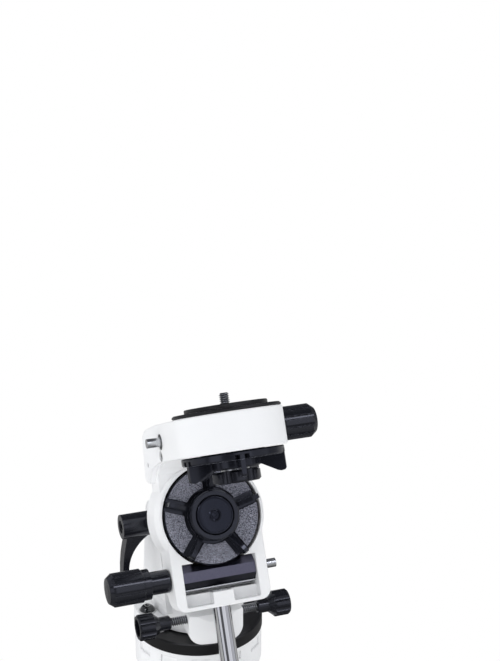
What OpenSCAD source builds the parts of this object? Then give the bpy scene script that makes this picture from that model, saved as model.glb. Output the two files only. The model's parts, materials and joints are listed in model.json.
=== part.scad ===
// Light German equatorial mount: foot, azimuth turret, altitude fork, polar head, declination head.
// The origin is the centre of the foot's underside. The polar axis points forward (-Y) and up.

/* [Foot and azimuth plate] */
// Radius of the white foot
foot_r = 43.2; // [40:0.2:50]
// Height of the white foot
foot_h = 24; // [20:1:34]
// Wall of the foot
foot_wall = 5; // [4:0.5:8]
// Overhang of the black azimuth plate beyond the foot
plate_over = 0.5; // [0.1:0.1:2]
// Thickness of the azimuth plate
plate_t = 8.6; // [7:0.2:12]
// Radius of the azimuth pivot shank
pivot_r = 12; // [11:0.5:14]
// Radius of the central tripod thread
tripod_bolt_r = 5; // [4:0.5:6]
// Distance of the azimuth peg inside the plate's rim
peg_in = 10.2; // [9:0.2:12]
// Radius of the azimuth peg
peg_r = 4; // [3.5:0.1:4.5]

/* [Turret and fork] */
// Radius of the turret body
turret_r = 31; // [29:0.5:33]
// Height of the turret body
turret_h = 20; // [18:0.5:22]
// Distance of the altitude axis behind the azimuth axis
altitude_y = 12.5; // [11:0.5:14]
// Height of the altitude axis above the foot's underside
altitude_z = 99.5; // [97:0.5:106]
// Inner half width of the fork
fork_in = 19; // [18.5:0.25:20]
// Thickness of each fork ear
ear_t = 9; // [7:0.5:10]
// Gap between the ear's round edge and the flange of the polar housing
ear_gap = 1; // [0.5:0.25:3]
// Half width of the azimuth block in front of the turret
block_half = 18.8; // [18:0.2:21]
// Height of the azimuth screws above the azimuth plate
azimuth_screw_up = 16; // [15:0.5:17]
// Radius of the azimuth and altitude screw threads
screw_r = 3; // [2.5:0.1:3.2]

/* [Altitude adjuster] */
// Latitude that the polar axis is set to
latitude = 26.5; // [26:0.5:60]
// Distance of the altitude screw's line from the altitude axis
heel_r = 26; // [25:0.5:27]
// Slope of the altitude screw
heel_slope = 20; // [15:1:24]
// Distance from the perpendicular foot to the screw's pad at the reference latitude
heel_reach = 20; // [19:0.5:21]
// Radius of the altitude bolt
altitude_bolt_r = 4; // [3.5:0.25:4.5]
// Length of the clamp lever's boss
lever_boss = 21; // [18:1:24]
// Drop of the clamp lever's arm
lever_drop = 46; // [36:1:50]

/* [Polar head] */
// Distance from the altitude axis to the front face of the polar drum
head_w = 50; // [48:0.5:53]
// Radius of the polar drum
drum_r = 37; // [36.6:0.1:38]
// Radius of the front ring
ring_r = 35.5; // [35.2:0.1:36]
// Radius of the polar shaft
shaft_r = 10; // [9:0.25:10.5]
// Half width of the lower extension
skirt_half = 32; // [31:0.5:33]
// Depth of the lower extension below the polar axis
skirt_drop = 59; // [58:0.5:63]
// Half width of the worm window
window_half = 25; // [24.5:0.25:26]
// Distance of the counterweight bar behind the head's front face
bar_back = 10; // [9:0.5:11]

/* [Worm drives] */
// Teeth of each worm wheel
teeth = 100; // [96:4:104]
// Pitch radius of each worm wheel
wheel_r = 32; // [31.8:0.05:32.1]
// Pitch radius of each worm
worm_r = 5.5; // [5.2:0.1:5.7]
// Face width of each worm wheel
wheel_w = 7; // [6:0.25:7.5]
// Radius of the worm shafts in their bushes
worm_shaft_r = 3.5; // [3.3:0.1:3.7]
// Radius of the drive stubs, for 6 mm couplings
stub_r = 3; // [2.5:0.1:3]
// Flat width of the black worm carrier
carrier_w = 16; // [15.5:0.1:16.4]

/* [Clutch knobs] */
// Radius of the clutch knobs
clutch_r = 32; // [30:0.25:32.3]
// Fins on each clutch knob
clutch_fins = 5; // [4:1:6]
// Height of the fins at the rim
fin_h = 10.5; // [8:0.5:12]
// Thickness of the fins
fin_t = 3; // [2.4:0.2:4]

/* [Declination head] */
// Distance of the declination axis in front of the head's front face
dec_out = 65.3; // [63:0.3:69]
// Radius of the declination drum
dec_drum_r = 34.6; // [34.4:0.1:35.4]
// Height of the drum's underside above the polar axis
dec_low = 39; // [38:0.5:42]
// Height of the drum
dec_h = 24; // [23.5:0.25:26]
// Radius of the setting circle
circle_r = 34; // [31:0.5:34.4]
// Radius of the telescope platform
platform_r = 26; // [22:0.5:29]
// Radius of the telescope screw, a quarter inch thread
telescope_screw_r = 3.175; // [3.1:0.025:3.2]

/* [Knobs] */
// Radius of the slow motion knobs
slow_r = 11; // [10:0.25:12]
// Length of the ribbed part of a slow motion knob
slow_len = 23.5; // [20:0.5:26]
// Radius of the azimuth knobs
azimuth_knob_r = 8.7; // [8:0.1:9.5]

/* [Counterweight] */
// Radius of the counterweight bar
bar_r = 6; // [5.5:0.1:6.5]
// Length of the bar below the head
bar_len = 190; // [170:5:230]
// Radius of the counterweight
weight_r = 36; // [30:1:38]
// Height of the counterweight
weight_h = 44; // [36:2:50]
// Distance from the head to the counterweight
weight_at = 104; // [96:2:112]

/* [Hidden] */
$fn = 96;
fit = 0.05;          // radial clearance of running fits
face_gap = 0.1;      // clearance between faces that slide
free = 0.3;          // clearance between bodies that only pass
latitude_ref = 26.5; // latitude at which heel_reach is measured
latitude_min = 25.5;
latitude_max = 65;

plate_r = foot_r + plate_over;
peg_y = plate_r - peg_in;
plate_screw_at = turret_r - 4;
plate_z = foot_h;
plate_top = foot_h + plate_t;
turret_z = plate_top + face_gap;
turret_top = turret_z + turret_h;
azimuth_z = plate_top + azimuth_screw_up;
azimuth_travel = peg_y * 8 * PI / 180;
gap_half = peg_r + azimuth_travel + 0.8;
block_front = plate_r - 0.3;
block_top = azimuth_z + 5.2;
tip_len = 4;
ear_out = fork_in + ear_t;
thread_out = 11.5;
neck_len = 7.4;
flare_len = 3;
head_len = 11.6;
lobe_top = turret_z + 9.8;
level_x = 6.7 - plate_r;
level_y = -4;
level_r = 5.4;

pad_reach = heel_reach - heel_r * (latitude - latitude_ref) * PI / 180;
pad_t = 4;
boss_from = 28;
boss_to = 41;
swing_r = sqrt(pow(heel_r, 2) + pow(heel_reach, 2)) + 1.5;
bolt_thread = 50;

head_back = head_w - 27;
circle_depth = 4.1;
flange_r = 31;
flange_t = 3;
housing_r = 16.5;
housing_back = -14.5;
housing_front = head_back - free - circle_depth - face_gap - flange_t;
ear_r = housing_front - ear_gap;
shaft_flange_t = 3;
shaft_flange_r = 17;
ra_circle_r = 33;
neck_r = shaft_r - 2;
collar_t = 2.2;
collar_r = 19;
bush_wall = 2.5;
wheel_mid = head_w - bar_back;
wheel_back = wheel_mid - wheel_w / 2;
wheel_front = wheel_mid + wheel_w / 2;
pitch = 2 * PI * wheel_r / teeth;
worm_off = wheel_r + worm_r;
addendum = 0.6;
dedendum = 0.75;
cavity_r = wheel_r + addendum + 0.8;
window_top = 28.6;
window_low = 54.9;
sill = 49;
pad_half = 7;
carrier_half = window_half - 0.3;
worm_thread_half = 9;
stub_out = 8.8;
sleeve_r = 7.6;
sleeve_len = 13;
collar_len = 5;
disc_t = 5;
disc_front = head_w;
polar_hub_h = 7.5;
dec_hub_h = 5;

dec_w = head_w + dec_out;
dec_high = dec_low + dec_h;
dec_mid = dec_low + 12.5;
dec_roof = dec_high - 6;
dec_side = dec_drum_r;
dec_sleeve_len = 5.8;
dec_disc_low = dec_low - disc_t - 0.4;
platform_t = 2.6;
top_flange_r = 22;
top_flange_t = 2.4;
circle_t = 2;
platform_z = dec_high + face_gap + top_flange_t;
knob_top = dec_disc_low - dec_hub_h - 1.2;
knob_t = 7.6;
bar_top = skirt_drop - 10.5;
weight_top = skirt_drop + weight_at;

// ---------- frames ----------
// The polar frame: X as the mount's, Y up across the polar axis, Z along it, origin on the altitude axis
module polar() {
    translate([0, altitude_y, altitude_z]) rotate([90 - latitude, 0, 0]) children();
}

// The declination frame: -Y forward, Z along the declination axis, origin on the polar axis
module dec() {
    polar() translate([0, 0, dec_w]) rotate([-90, 0, 0]) children();
}

// The altitude screw's frame: Z runs along the screw from the perpendicular foot towards the handle
module altitude_line() {
    translate([0, altitude_y, altitude_z]) rotate([-90 - heel_slope, 0, 0])
        translate([0, heel_r, 0]) children();
}

// A cylinder along X from x1 to x2
module rod_x(x1, x2, r) {
    translate([x1, 0, 0]) rotate([0, 90, 0]) cylinder(r = r, h = x2 - x1);
}

// ---------- shared shapes ----------
// A rectangle with round corners, centred
module round_rect(w, h, r) {
    square([w - 2 * r, h], center = true);
    square([w, h - 2 * r], center = true);
    for (sx = [-1, 1], sy = [-1, 1])
        translate([sx * (w / 2 - r), sy * (h / 2 - r)]) circle(r);
}

// A ring along Z from z1 to z2
module ring(r_out, r_in, z1, z2) {
    translate([0, 0, z1]) difference() {
        cylinder(r = r_out, h = z2 - z1);
        translate([0, 0, -1]) cylinder(r = r_in, h = z2 - z1 + 2);
    }
}

// The point where a line from p touches the circle about c, on the given side
function touch(p, c, r, side) =
    let (v = c - p, d = norm(v), a = atan2(v[1], v[0]) + side * asin(r / d))
    p + sqrt(d * d - r * r) * [cos(a), sin(a)];

// One helical worm thread of trapezoid section, sunk in its core, ridge centred on z = 0 at the angle face_angle
module worm_thread(face_angle) {
    steps = 24;
    turns = 2 * worm_thread_half / pitch;
    count = floor(turns * steps);
    seat_r = worm_r - dedendum - 0.3;
    seat_half = 0.40 + 0.36 * (dedendum + 0.3);
    tip_half = 0.40 - 0.36 * addendum;
    section = [[seat_r, -seat_half], [worm_r + addendum, -tip_half],
               [worm_r + addendum, tip_half], [seat_r, seat_half]];
    points = [for (k = [0:count]) let (a = (k - count / 2) * 360 / steps)
        for (q = section) [q[0] * cos(a + face_angle), q[0] * sin(a + face_angle), q[1] + pitch * a / 360]];
    sides = [for (k = [0:count - 1], j = [0:3]) let (b = 4 * k, n = (j + 1) % 4)
        for (f = [[b + n, b + j + 4, b + j], [b + n + 4, b + j + 4, b + n]]) f];
    last = 4 * count;
    polyhedron(points, concat(sides, [[2, 1, 0], [3, 2, 0], [last, last + 1, last + 2], [last, last + 2, last + 3]]));
}

// A worm along Z: a shaft from -knob_end to side, and beyond it a thinner stub for a drive; turn flips it end to end
module worm(knob_end, side, face_angle) {
    cylinder(r = worm_r - dedendum, h = 2 * worm_thread_half + 5, center = true);
    worm_thread(face_angle);
    translate([0, 0, min(-knob_end, side)]) cylinder(r = worm_shaft_r, h = abs(side + knob_end));
    translate([0, 0, min(side, side + sign(side) * stub_out)]) cylinder(r = stub_r, h = stub_out);
}

// A worm wheel about Z, centred on z = 0, with a tooth gap on the side facing face_angle
module worm_wheel(bore, face_angle) {
    step = 360 / teeth;
    root_r = wheel_r - dedendum;
    tip_r = wheel_r + addendum;
    root_a = step * 0.30;
    tip_a = step * 0.10;
    outline = [for (k = [0:teeth - 1]) let (a = face_angle + (k + 0.5) * step)
        for (q = [[root_r, -root_a], [tip_r, -tip_a], [tip_r, tip_a], [root_r, root_a]])
            [q[0] * cos(a + q[1]), q[0] * sin(a + q[1])]];
    difference() {
        translate([0, 0, -wheel_w / 2]) linear_extrude(wheel_w) polygon(outline);
        translate([0, 0, -wheel_w]) cylinder(r = bore, h = 2 * wheel_w);
        for (side = [-1, 1])
            translate([0, 0, side * (wheel_w / 2)]) ring(root_r - 3, 21, -1.2, 1.2);
    }
}

// A slow motion knob along Z: sleeve at z = 0, ribbed head away from it
module slow_knob(sleeve) {
    ribs = 12;
    head_z = sleeve + collar_len;
    difference() {
        union() {
            rotate_extrude() polygon([[0, 0], [sleeve_r - 0.6, 0], [sleeve_r, 0.6], [sleeve_r, sleeve],
                [10, sleeve + 0.4], [10, head_z], [slow_r - 0.8, head_z], [slow_r - 0.8, head_z + slow_len - 3],
                [slow_r - 2.6, head_z + slow_len - 0.6], [4, head_z + slow_len], [0, head_z + slow_len]]);
            intersection() {
                for (i = [0:ribs - 1]) rotate(i * 360 / ribs)
                    translate([slow_r - 2, -1.9, head_z + 0.6]) cube([2, 3.8, slow_len]);
                rotate_extrude() polygon([[0, head_z], [slow_r - 0.3, head_z], [slow_r, head_z + 0.8],
                    [slow_r, head_z + slow_len - 4], [slow_r - 3, head_z + slow_len - 0.8], [0, head_z + slow_len - 0.8]]);
            }
        }
        translate([0, 0, -1]) cylinder(r = worm_shaft_r, h = sleeve + 9);
    }
}

// The outline of one fin in the plane of the radius and the height above the pads
module fin_profile() {
    polygon([[15, -4.4], [clutch_r - 0.2, -4.4], [clutch_r - 0.2, fin_h - 1.6], [clutch_r - 1.2, fin_h - 0.3],
        [clutch_r - 3.4, fin_h], [clutch_r - 5.5, fin_h - 0.6], [17, 4.6], [15, 4.6]]);
}

// A clutch knob about Z, pads facing +Z at z = 0, with a pressure sleeve behind it
module clutch_knob(sleeve, bore, hub_h, first_fin) {
    step = 360 / clutch_fins;
    hub_r = 16.5;
    groove_r = 18.6;
    difference() {
        rotate_extrude() polygon([[bore, -disc_t - sleeve], [20, -disc_t - sleeve], [20, -disc_t],
            [clutch_r - 0.6, -disc_t], [clutch_r, -disc_t + 0.6], [clutch_r, -0.8], [clutch_r - 0.8, 0],
            [groove_r, 0], [groove_r, -3.4], [hub_r, -3.4], [hub_r, hub_h - 0.9], [hub_r - 0.9, hub_h],
            [13, hub_h], [12.4, hub_h - 1.9], [bore, hub_h - 1.9]]);
        for (i = [0:clutch_fins - 1]) rotate(first_fin + i * step)
            translate([groove_r - 1, -4.4, -3]) cube([clutch_r, 8.8, 5]);
    }
    for (i = [0:clutch_fins - 1]) rotate(first_fin + i * step)
        translate([0, fin_t / 2, 0]) rotate([90, 0, 0]) linear_extrude(fin_t) difference() {
            fin_profile();
            translate([14, -5]) square([2.3, 20]);
        }
}

// A fluted azimuth knob along Z: neck at z = 0, head away from it
module azimuth_knob() {
    flutes = 8;
    head_z = neck_len + flare_len;
    difference() {
        rotate_extrude() polygon([[0, 0], [4.3, 0], [4.7, 0.6], [4.7, neck_len], [azimuth_knob_r - 1.4, head_z],
            [azimuth_knob_r, head_z + 1.4], [azimuth_knob_r, head_z + head_len - 1],
            [azimuth_knob_r - 1, head_z + head_len], [azimuth_knob_r - 3, head_z + head_len],
            [azimuth_knob_r - 3.4, head_z + head_len - 7], [0, head_z + head_len - 7]]);
        for (i = [0:flutes - 1]) rotate(i * 360 / flutes)
            translate([azimuth_knob_r + 1.3, 0, neck_len + 1]) cylinder(r = 2.3, h = head_len + 6);
        translate([0, 0, -1]) cylinder(r = screw_r, h = neck_len + 7);
    }
}

// ---------- foot ----------
module foot() {
    color("white") difference() {
        union() {
            rotate_extrude() polygon([[pivot_r + fit, foot_h - 10], [17, foot_h - 10], [17, foot_h - 5],
                [foot_r - foot_wall, foot_h - 5], [foot_r - foot_wall, 0], [foot_r - 0.6, 0], [foot_r, 0.6],
                [foot_r, foot_h], [pivot_r + fit, foot_h]]);
            for (i = [0:5]) rotate(i * 60) translate([16, -1.5, foot_h - 10]) cube([foot_r - 20, 3, 6]);
        }
        for (i = [0:11]) rotate(15 + i * 30) translate([foot_r - 1.4, -6, foot_h - 9]) cube([5, 12, 6]);
        for (i = [0:2]) rotate(90 + i * 120) translate([plate_screw_at, 0, foot_h - 12]) cylinder(r = 2, h = 20);
    }
}

module azimuth_plate() {
    color("#202224") difference() {
        rotate_extrude() polygon([[pivot_r + fit, plate_z], [plate_r - 0.4, plate_z], [plate_r, plate_z + 0.4],
            [plate_r, plate_top - 0.8], [plate_r - 0.8, plate_top], [pivot_r + fit, plate_top]]);
        for (i = [0:2]) rotate(90 + i * 120) translate([plate_screw_at, 0, 0]) {
            cylinder(r = 2 + fit, h = 90);
            translate([0, 0, plate_top - 2.6]) cylinder(r = 4, h = 5);
        }
        translate([0, -peg_y, plate_z + 1]) cylinder(r = peg_r, h = plate_t);
    }
}

module plate_screws() {
    color("silver") for (i = [0:2]) rotate(90 + i * 120) translate([plate_screw_at, 0, 0]) difference() {
        union() {
            translate([0, 0, foot_h - 4.5]) cylinder(r = 2, h = plate_t + 2);
            translate([0, 0, plate_top - 2.6]) cylinder(r = 3.8, h = 2.2);
        }
        translate([0, 0, plate_top - 1.9]) cylinder(r = 1.6, h = 4, $fn = 6);
    }
}

module azimuth_peg() {
    color("#d0d2d4") translate([0, -peg_y, plate_z + 1]) {
        cylinder(r = peg_r, h = block_top - plate_z - 3.4);
        translate([0, 0, block_top - plate_z - 3.4]) cylinder(r1 = peg_r, r2 = peg_r - 0.8, h = 0.8);
    }
}

// ---------- turret ----------
// The ear in the plane across the mount: Y along the first axis, height along the second
module ear_outline() {
    axis = [altitude_y, altitude_z];
    low = turret_top - 6;
    front = [-20, low];
    back = [36, low];
    polygon([front, touch(front, axis, ear_r, 1), touch(back, axis, ear_r, -1), back]);
    translate(axis) circle(ear_r);
}

// The front block as seen from the front, with big round lower corners
module block_outline() {
    corner = 8;
    h = block_top - turret_z;
    translate([-block_half, corner]) square([2 * block_half, h - corner - 1.5]);
    translate([-block_half + corner, 0]) square([2 * (block_half - corner), h]);
    translate([-block_half + 1.5, corner]) square([2 * (block_half - 1.5), h - corner]);
    for (side = [-1, 1]) {
        translate([side * (block_half - corner), corner]) circle(corner);
        translate([side * (block_half - 1.5), h - 1.5]) circle(1.5);
    }
}

module turret_blank() {
    translate([0, 0, turret_z]) rotate_extrude() polygon([[0, 0], [turret_r, 0], [turret_r, turret_h - 3],
        [turret_r - 1, turret_h - 1], [turret_r - 3, turret_h], [0, turret_h]]);
    for (x = [-ear_out, fork_in]) translate([x, 0, 0]) rotate([90, 0, 90]) linear_extrude(ear_t) ear_outline();
    // front block that carries the azimuth screws, its face round about the azimuth axis
    intersection() {
        translate([0, 0, turret_z]) rotate([90, 0, 0]) linear_extrude(block_front + 1) block_outline();
        translate([-block_half - 1, -block_front - 1, turret_z]) cube([2 * block_half + 2, block_front + 10 - turret_r, 60]);
        cylinder(r = block_front, h = 2 * turret_top);
    }
    // rear wall between the ears and the boss of the altitude screw
    translate([-fork_in - 1, 23, turret_z + 6]) cube([2 * fork_in + 2, 12.5, 34]);
    altitude_line() translate([0, 0, boss_from]) cylinder(r = 8, h = boss_to - boss_from);
    // left lobe that carries the bubble level
    intersection() {
        translate([0, 0, turret_z]) cylinder(r = plate_r, h = lobe_top - turret_z);
        translate([-60, -18, turret_z]) cube([50, 44, 20]);
    }
}

module turret() {
    color("white") difference() {
        turret_blank();
        // room for the polar housing and its heel to swing
        translate([0, altitude_y, altitude_z]) rod_x(-fork_in, fork_in, swing_r);
        translate([0, altitude_y, altitude_z]) rod_x(-60, 60, altitude_bolt_r + fit);
        // room for the peg, open on top and below
        translate([-gap_half, -block_front + 5, turret_z - 1]) cube([2 * gap_half, 11, 60]);
        translate([0, -peg_y, azimuth_z]) rod_x(-60, 60, screw_r + fit);
        altitude_line() translate([0, 0, boss_from - 8]) cylinder(r = screw_r + 1 + fit, h = 60);
        translate([0, 0, turret_z - 1]) cylinder(r = pivot_r - 3, h = 15);
        translate([level_x, level_y, lobe_top - 3]) cylinder(r = level_r, h = 10);
        // room for the slow motion knob's swing at the lowest latitude
        translate([0, altitude_y, altitude_z]) rotate([90 - latitude_min, 0, 0])
            translate([0, 0, wheel_mid - slow_r - free]) cylinder(r = 80, h = 30);
        // room over the heads of the plate screws
        ring(turret_r + 4, turret_r - 8.5, turret_z - 2, turret_z + 0.8);
    }
}

module azimuth_hub() {
    color("silver") difference() {
        rotate_extrude() polygon([[tripod_bolt_r, 0], [pivot_r - 2, 0], [pivot_r - 2, foot_h - 10 - face_gap],
            [pivot_r, foot_h - 10 - face_gap], [pivot_r, turret_z], [pivot_r - 3, turret_z],
            [pivot_r - 3, turret_z + 14], [tripod_bolt_r, turret_z + 14]]);
    }
}

module hub_nut() {
    color("silver") difference() {
        translate([0, 0, 8]) cylinder(r = 17, h = foot_h - 18 - face_gap, $fn = 6);
        translate([0, 0, 7]) cylinder(r = pivot_r - 2, h = foot_h);
    }
}

module level_ring() {
    color("#e8e8e6") translate([level_x, level_y, lobe_top - 3])
        rotate_extrude() polygon([[4.4, 0], [level_r, 0], [level_r, 3.6], [5, 4], [4.4, 4]]);
}

module level_vial() {
    color("#15181a") translate([level_x, level_y, lobe_top - 3]) intersection() {
        cylinder(r = 4.4, h = 8);
        translate([0, 0, -1.2]) sphere(r = 7.2);
    }
}

module altitude_bolt() {
    color("silver") translate([0, altitude_y, altitude_z]) {
        rod_x(-ear_out - lever_boss + 4, ear_out + 1, altitude_bolt_r);
        rod_x(ear_out, ear_out + 1.6, 8);
    }
}

module altitude_bolt_cap() {
    color("#1c1d1f") translate([ear_out + 1.6, altitude_y, altitude_z]) rotate([0, 90, 0])
        rotate_extrude() polygon([[0, 0], [8, 0], [8, 3.4], [7, 5.2], [4.5, 6], [0, 6]]);
}

// A small plate on the right ear's rounded edge, its point over the latitude scale
module latitude_pointer() {
    color("#c8302a") translate([0, altitude_y, altitude_z]) rotate([-45, 0, 0]) difference() {
        translate([fork_in, 0, ear_r - 1]) linear_extrude(2)
            polygon([[-4.6, 0], [0, -1.5], [6, -1.5], [6, 1.5], [0, 1.5]]);
        rod_x(-60, 60, ear_r);
    }
}

module azimuth_tip(side) {
    color("#c9a04e") translate([0, -peg_y, azimuth_z])
        rod_x(side > 0 ? peg_r + 0.15 : -peg_r - 0.15 - tip_len, side > 0 ? peg_r + 0.15 + tip_len : -peg_r - 0.15,
            screw_r - 0.1);
}

module azimuth_screw(side) {
    from = peg_r + 0.15 + tip_len + face_gap;
    to = block_half + thread_out + neck_len + 4;
    color("silver") translate([0, -peg_y, azimuth_z])
        rod_x(side > 0 ? from : -to, side > 0 ? to : -from, screw_r);
}

module azimuth_knob_at(side) {
    color("#1b1c1e") translate([side * (block_half + thread_out), -peg_y, azimuth_z])
        rotate([0, side * 90, 0]) azimuth_knob();
}

module left_azimuth_tip() { azimuth_tip(-1); }
module left_azimuth_screw() { azimuth_screw(-1); }
module left_azimuth_knob() { azimuth_knob_at(-1); }
module right_azimuth_tip() { azimuth_tip(1); }
module right_azimuth_screw() { azimuth_screw(1); }
module right_azimuth_knob() { azimuth_knob_at(1); }

// ---------- altitude adjuster ----------
module altitude_pad() {
    color("#c9a04e") altitude_line() translate([0, 0, pad_reach + face_gap]) cylinder(r = screw_r + 0.6, h = pad_t);
}

module altitude_screw() {
    color("silver") altitude_line() translate([0, 0, pad_reach + pad_t + 2 * face_gap])
        cylinder(r = screw_r + 1, h = bolt_thread - pad_t - 2 * face_gap);
}

module altitude_handle() {
    arm = 17;
    color("#1b1c1e") altitude_line() translate([0, 0, pad_reach + bolt_thread - 10]) rotate(-28) difference() {
        union() {
            cylinder(r = 7, h = 12);
            translate([0, 0, 6]) rotate([90, 0, 90]) linear_extrude(2 * arm, center = true) round_rect(9, 11, 3);
            for (side = [-1, 1]) translate([side * arm, 0, 6]) rotate([0, side * 90, 0])
                cylinder(r1 = 5.6, r2 = 4.2, h = 2.4);
        }
        translate([0, 0, -1]) cylinder(r = screw_r + 1, h = 11);
    }
}

// ---------- altitude clamp ----------
module altitude_lever() {
    boss_r = 8.2;
    out = ear_out + lever_boss + free;
    arch_r = 30;
    color("#1c1d1f") translate([0, altitude_y, altitude_z]) difference() {
        union() {
            rod_x(-out, -ear_out - free, boss_r);
            rotate([90, 0, 0]) linear_extrude(9, center = true) difference() {
                polygon([[-ear_out - free - 1.4, 0], [-ear_out - free - 1.4, -10], [-out + 10, -lever_drop],
                    [-out + 3, -lever_drop], [-out + 0.6, -lever_drop + 0.6], [-out - 0.5, -lever_drop + 3],
                    [-out - 0.3, -29], [-out + 0.5, -20], [-out + 2, -11.5], [-out + 3, -6], [-out + 3, 0]]);
                translate([-out + 3.7 + arch_r, -lever_drop + 14]) circle(arch_r);
                translate([-out + 3.7, -lever_drop - 1]) square([arch_r, 15]);
            }
        }
        rod_x(-out + 3.6, -ear_out + 1, altitude_bolt_r + fit);
        rod_x(-out - 1, -out + 3, 4.4);
    }
}

module lever_cap() {
    out = ear_out + lever_boss + free;
    color("#34363a") translate([0, altitude_y, altitude_z]) difference() {
        rod_x(-out + 0.6, -out + 3, 4.4);
        translate([-out - 1, 0, 0]) rotate([0, 90, 0]) cylinder(r = 2.2, h = 3, $fn = 6);
    }
}

// ---------- polar housing ----------
// The contact point of the pad on the heel at latitude a, in the polar frame: an involute about the altitude axis
function heel_point(a) =
    let (s = heel_reach - heel_r * (a - latitude_ref) * PI / 180,
         y = -heel_r * sin(heel_slope) + s * cos(heel_slope),
         z = -heel_r * cos(heel_slope) - s * sin(heel_slope))
    [-y * cos(a) + z * sin(a), y * sin(a) + z * cos(a)];

module heel_outline() {
    face = [for (a = [latitude_min - 2:1.5:latitude_max + 2]) heel_point(a)];
    polygon(concat([[housing_back + 4, 0]], face, [[8, -14], [10, 0]]));
}

module polar_housing() {
    color("white") polar() difference() {
        union() {
            rotate_extrude() polygon([[0, housing_back], [housing_r - 2, housing_back], [housing_r, housing_back + 2],
                [housing_r, housing_front], [flange_r - 1, housing_front], [flange_r, housing_front + 1],
                [flange_r, housing_front + flange_t], [0, housing_front + flange_t]]);
            rod_x(-fork_in + face_gap, fork_in - face_gap, 13);
            rotate([0, -90, 0]) linear_extrude(13, center = true) heel_outline();
        }
        rod_x(-60, 60, altitude_bolt_r + fit);
        translate([0, 0, 5]) cylinder(r = shaft_r - 1, h = 40);
        for (i = [0:3]) rotate(45 + i * 90) translate([13.4, 0, housing_front - 8]) cylinder(r = 1.5, h = 30);
        translate([0, 0, housing_back - 1]) cylinder(r = 10, h = 3);
    }
}

module polar_cap() {
    color("#1b1c1e") polar() difference() {
        rotate_extrude() polygon([[0, housing_back - 1.8], [8.4, housing_back - 1.8], [9, housing_back - 1.2],
            [9, housing_back], [10, housing_back], [10, housing_back + 2], [0, housing_back + 2]]);
        translate([-6, -0.8, housing_back - 3]) cube([12, 1.6, 2]);
    }
}

// A strip round the pivot drum, read against the pointer on the right ear
module latitude_scale() {
    color("#d9dadc") polar() rotate([0, 90, 0]) rotate([0, 0, 62]) translate([0, 0, fork_in - 6])
        rotate_extrude(angle = 56) translate([13, 0]) square([0.5, 5]);
}

module polar_shaft() {
    front = disc_front + polar_hub_h - 1.5;
    color("silver") polar() difference() {
        rotate_extrude() polygon([[0, 5], [shaft_r - 1, 5], [shaft_r - 1, housing_front + flange_t],
            [shaft_flange_r, housing_front + flange_t], [shaft_flange_r, housing_front + flange_t + shaft_flange_t],
            [shaft_r, housing_front + flange_t + shaft_flange_t], [shaft_r, wheel_back - collar_t - face_gap],
            [neck_r, wheel_back - collar_t - face_gap], [neck_r, front - 1], [neck_r - 1, front], [0, front]]);
        for (i = [0:3]) rotate(45 + i * 90) translate([13.4, 0, housing_front]) cylinder(r = 1.5 + fit, h = 30);
    }
}

module shaft_screws() {
    top = housing_front + flange_t + shaft_flange_t;
    color("#3a3c40") polar() for (i = [0:3]) rotate(45 + i * 90) translate([13.4, 0, 0]) difference() {
        union() {
            translate([0, 0, top - 10]) cylinder(r = 1.5, h = 10);
            translate([0, 0, top]) cylinder(r = 2.6, h = 1.2);
        }
        translate([0, 0, top + 0.5]) cylinder(r = 1.2, h = 2, $fn = 6);
    }
}

module polar_circle() {
    back = housing_front + flange_t + face_gap;
    bore = shaft_flange_r + fit;
    color("#202224") polar() rotate_extrude() polygon([[bore, back], [ra_circle_r - 0.5, back],
        [ra_circle_r, back + 0.5], [ra_circle_r, head_back - 0.6], [ra_circle_r - 1.2, head_back - free],
        [24, head_back - free], [24, head_back - 1.4], [bore, head_back - 1.4]]);
}

module polar_collar() {
    color("silver") polar() ring(collar_r, neck_r, wheel_back - collar_t - face_gap, wheel_back - face_gap);
}

module polar_wheel() {
    color("#b8924a") polar() translate([0, 0, wheel_mid]) worm_wheel(neck_r + fit, -90);
}

module polar_clutch_knob() {
    color("#1e1f22") polar() translate([0, 0, disc_front])
        clutch_knob(head_w - disc_t - wheel_front - face_gap, neck_r + fit, polar_hub_h, 87);
}

module clutch_cap(bore) {
    rotate_extrude() polygon([[bore, 0], [12.3, 0], [12.3, 1.2], [11.5, 1.8], [4, 1.6], [3.4, 0.5], [bore, 0.5]]);
}

module polar_clutch_cap() {
    color("#16171a") polar() translate([0, 0, disc_front + polar_hub_h - 1.5 + face_gap]) clutch_cap(0);
}

// ---------- head casting ----------
// The lower extension seen from the front
module skirt_outline() {
    corner = 7;
    translate([-skirt_half, -skirt_drop + corner]) square([2 * skirt_half, skirt_drop - corner]);
    translate([-skirt_half + corner, -skirt_drop]) square([2 * (skirt_half - corner), skirt_drop]);
    for (side = [-1, 1]) translate([side * (skirt_half - corner), -skirt_drop + corner]) circle(corner);
}

// The bracket that carries the declination drum, from the side: polar axis along the first axis, height along the second
module bracket_outline(foot_points) {
    back = head_back + 4.5;
    polygon(concat([[back, 29], [back + 5, dec_high - 12], [back + 7.5, dec_high - 6], [back + 12, dec_high - 3.4],
        [back + 18, dec_high - 2.2], [back + 44, dec_high - 0.4], [dec_w, dec_high - 0.4], [dec_w, dec_low]], foot_points));
}

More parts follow.
